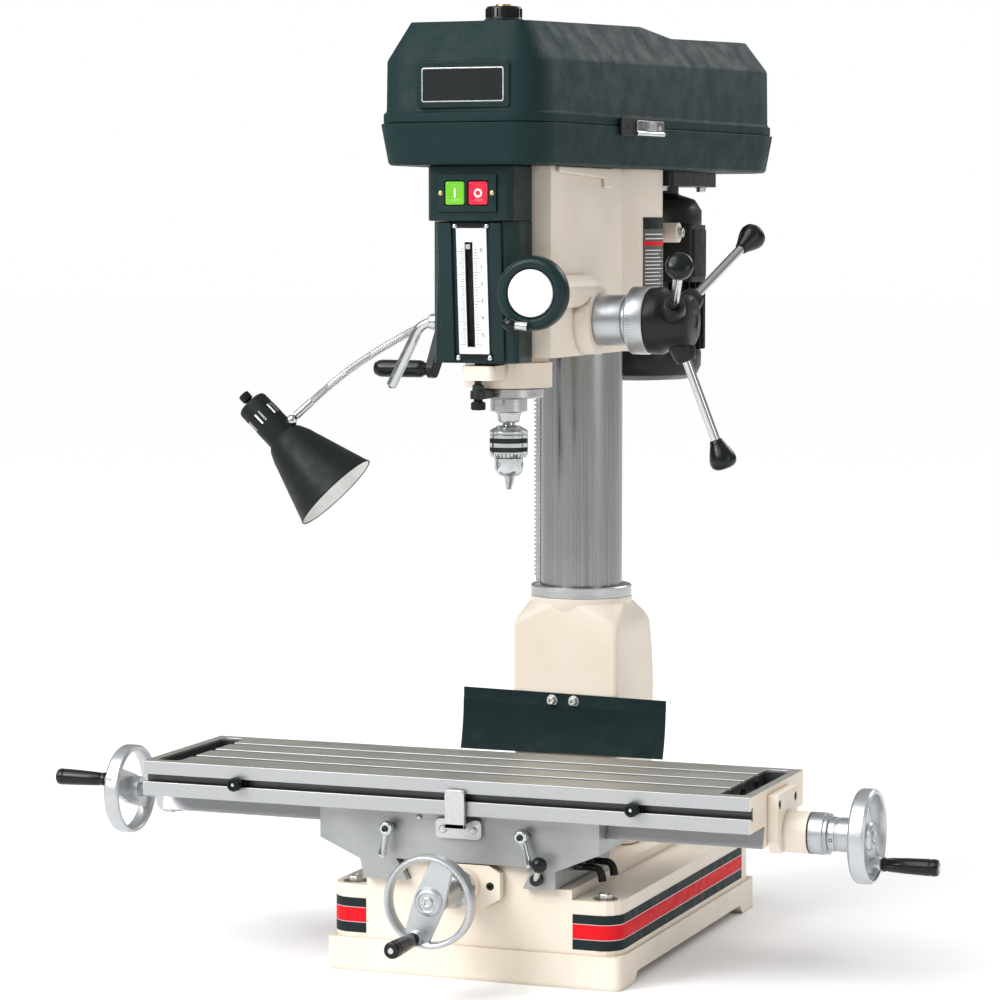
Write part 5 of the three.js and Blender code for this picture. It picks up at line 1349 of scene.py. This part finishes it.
def lamp():
    axis = Vector(JOINTS["lamp_switch_turn"]["axis"])
    rim = Vector((-241, -312, 625))
    side = Vector((1, 0, 1)).normalized()
    throat = rim - axis * 112
    joint, end = throat + side * 25, throat + side * 33.6
    neck = Shape()
    bend = [(-92, 861), (-107, 856), (-132, 845), (-155, 833), (-189, 814), (-228, 789), (-262, 763)]
    line = curve([*((x, -300, z) for x, z in bend), end], 40)
    spaced = [line[0]]
    for point in line[1:]:
        if (point - spaced[-1]).length > 1.1:
            spaced.append(point)
    neck.swept(spaced, [5.2 if i % 2 else 4.55 for i in range(len(spaced))], ZINC, 24)
    neck.turned([(0, 0), (13, 0), (12.6, 6), (8, 11.4), (0, 11.4)], (-85.3, -300, 862), LEFT, CHROME, 48)
    neck.rod(line[-22], line[-1], 5.6, CHROME, 32)
    neck.finish("lamp_neck_look", "head", "chrome", ["lamp_neck"], bevel=0)
    shade = Shape()
    shade.turned([
        (0, -170), (18, -170), (20.6, -168.4), (22, -165), (22.4, -118), (22.6, -106), (24.5, -104), (27.5, -100),
        (34, -86), (35, -82), (60, -5), (62, -1), (62, 0.2), (60.4, 0.2), (58, -5), (33, -80), (20, -97),
        (20, -119), (0, -119),
    ], rim, axis, MATT, 112)
    lining = [(59.4, -2.5), (60.0, -0.6), (58.6, -2.6), (33.6, -78), (20.8, -95.5), (20.3, -95.5), (33, -78)]
    shade.turned(lining, rim, axis, WHITE, 96)
    shade.rod(throat + side * 19, joint, 5.2, CHROME, 32)
    shade.turned([(0, -8), (4.6, -6.6), (7.4, -3), (8, 0), (7.4, 3), (4.6, 6.6), (0, 8)], joint, side, CHROME, 40)
    u, v = basis(axis)[:2]
    for turn in spokes(6, 0.55):
        out = u * turn.x + v * turn.y
        aside = axis.cross(out)
        for side_of, finish in ((-1, ZINC), (1, WHITE)):
            spot = rim + out * 21.6 + aside * side_of * 3.4
            shade.skin([
                [spot - axis * h + out * d + aside * s for d, s in ((0, -1.3), (1.1, -1.3), (1.1, 1.3), (0, 1.3))]
                for h in (134, 150)
            ], finish)
    shade.finish("lamp_shade_look", "lamp", "black_plastic", ["lamp_shade"], bevel=0.3)
    bulb = Shape()
    bulb.turned([
        (0, -118.6), (12, -118.6), (12.6, -100), (14, -92), (18, -82), (23, -70), (26, -58), (26.8, -50),
        (25.6, -41), (21.6, -32), (15, -25.6), (7, -22.6), (0, -22),
    ], rim, axis, GLASS, 64)
    bulb.finish("lamp_bulb_look", "lamp", "lamp_glass", ["lamp_bulb"], bevel=0)
    knob = Shape()
    knob.turned([
        (0, -186), (6.4, -186), (7.8, -184.6), (8, -180), (7.6, -175), (4.6, -173.6), (4.4, -170.3), (0, -170.3),
    ], rim, axis, MATT, 18)
    knob.finish("lamp_switch_look", "lamp_switch", "black_plastic", ["lamp_switch"], bevel=0.4)


def studio():
    """A pale floor, a room that is white to look at but grey to light with, and soft lamps."""
    mesh = bmesh.new()
    bmesh.ops.create_grid(mesh, x_segments=1, y_segments=1, size=40)
    data = bpy.data.meshes.new("floor")
    mesh.to_mesh(data)
    mesh.free()
    floor = bpy.data.objects.new("floor", data)
    bpy.context.scene.collection.objects.link(floor)
    paper = bpy.data.materials.new("floor")
    paper.use_nodes = True
    paper.node_tree.nodes["Principled BSDF"].inputs["Base Color"].default_value = (0.95, 0.95, 0.95, 1)
    paper.node_tree.nodes["Principled BSDF"].inputs["Roughness"].default_value = 0.9
    data.materials.append(paper)
    room()
    middle = (CAD_BOX[0] + CAD_BOX[1]) / 2
    for name, place, size, power in (
        ("key", (-2.2, -3.4, 2.8), 1.5, 70),
        ("fill", (3.4, -1.6, 1.5), 1.6, 16),
        ("rim", (1.4, 2.6, 2.6), 1.5, 30),
    ):
        light = bpy.data.lights.new(name, "AREA")
        light.size = size
        light.energy = power
        stand(light, place, middle)
    sun = bpy.data.lights.new("sky", "SUN")
    sun.energy = 2.6
    sun.angle = math.radians(55)
    stand(sun, (-1.6, -2.6, 3.6), middle)


def stand(light, place, target):
    holder = bpy.data.objects.new(light.name, light)
    holder.location = place
    holder.rotation_euler = (target - Vector(place)).to_track_quat("-Z", "Y").to_euler()
    bpy.context.scene.collection.objects.link(holder)


def room():
    """White behind everything, and a room that darkens from its ceiling to the floor for light and gloss."""
    world = bpy.data.worlds.new("room")
    world.use_nodes = True
    nodes, links = world.node_tree.nodes, world.node_tree.links
    seen = nodes["Background"]
    seen.inputs["Color"].default_value = (1, 1, 1, 1)
    lit = nodes.new("ShaderNodeBackground")
    height = nodes.new("ShaderNodeSeparateXYZ")
    links.new(nodes.new("ShaderNodeTexCoord").outputs["Generated"], height.inputs["Vector"])
    ramp = nodes.new("ShaderNodeMapRange")
    for socket, number in (("From Min", -0.1), ("From Max", 0.9), ("To Min", 0.2), ("To Max", 0.75)):
        ramp.inputs[socket].default_value = number
    links.new(height.outputs["Z"], ramp.inputs["Value"])
    links.new(ramp.outputs["Result"], lit.inputs["Strength"])
    path = nodes.new("ShaderNodeLightPath")
    both = nodes.new("ShaderNodeMixShader")
    links.new(path.outputs["Is Camera Ray"], both.inputs["Fac"])
    links.new(lit.outputs["Background"], both.inputs[1])
    links.new(seen.outputs["Background"], both.inputs[2])
    links.new(both.outputs["Shader"], nodes["World Output"].inputs["Surface"])
    bpy.context.scene.world = world


base()
pedestal()
column()
chip_guard()
cross_bracket()
saddle()
table_locks()
saddle_levers()
table()
feeds()
head()
front_cover()
switch_box()
belt_cover()
latch()
belt_drive()
motor()
quill()
chuck()
sleeve()
coarse_feed()
fine_feed()
lift()
quill_lock()
lamp()
studio()
bpy.context.scene.view_settings.view_transform = "Standard"
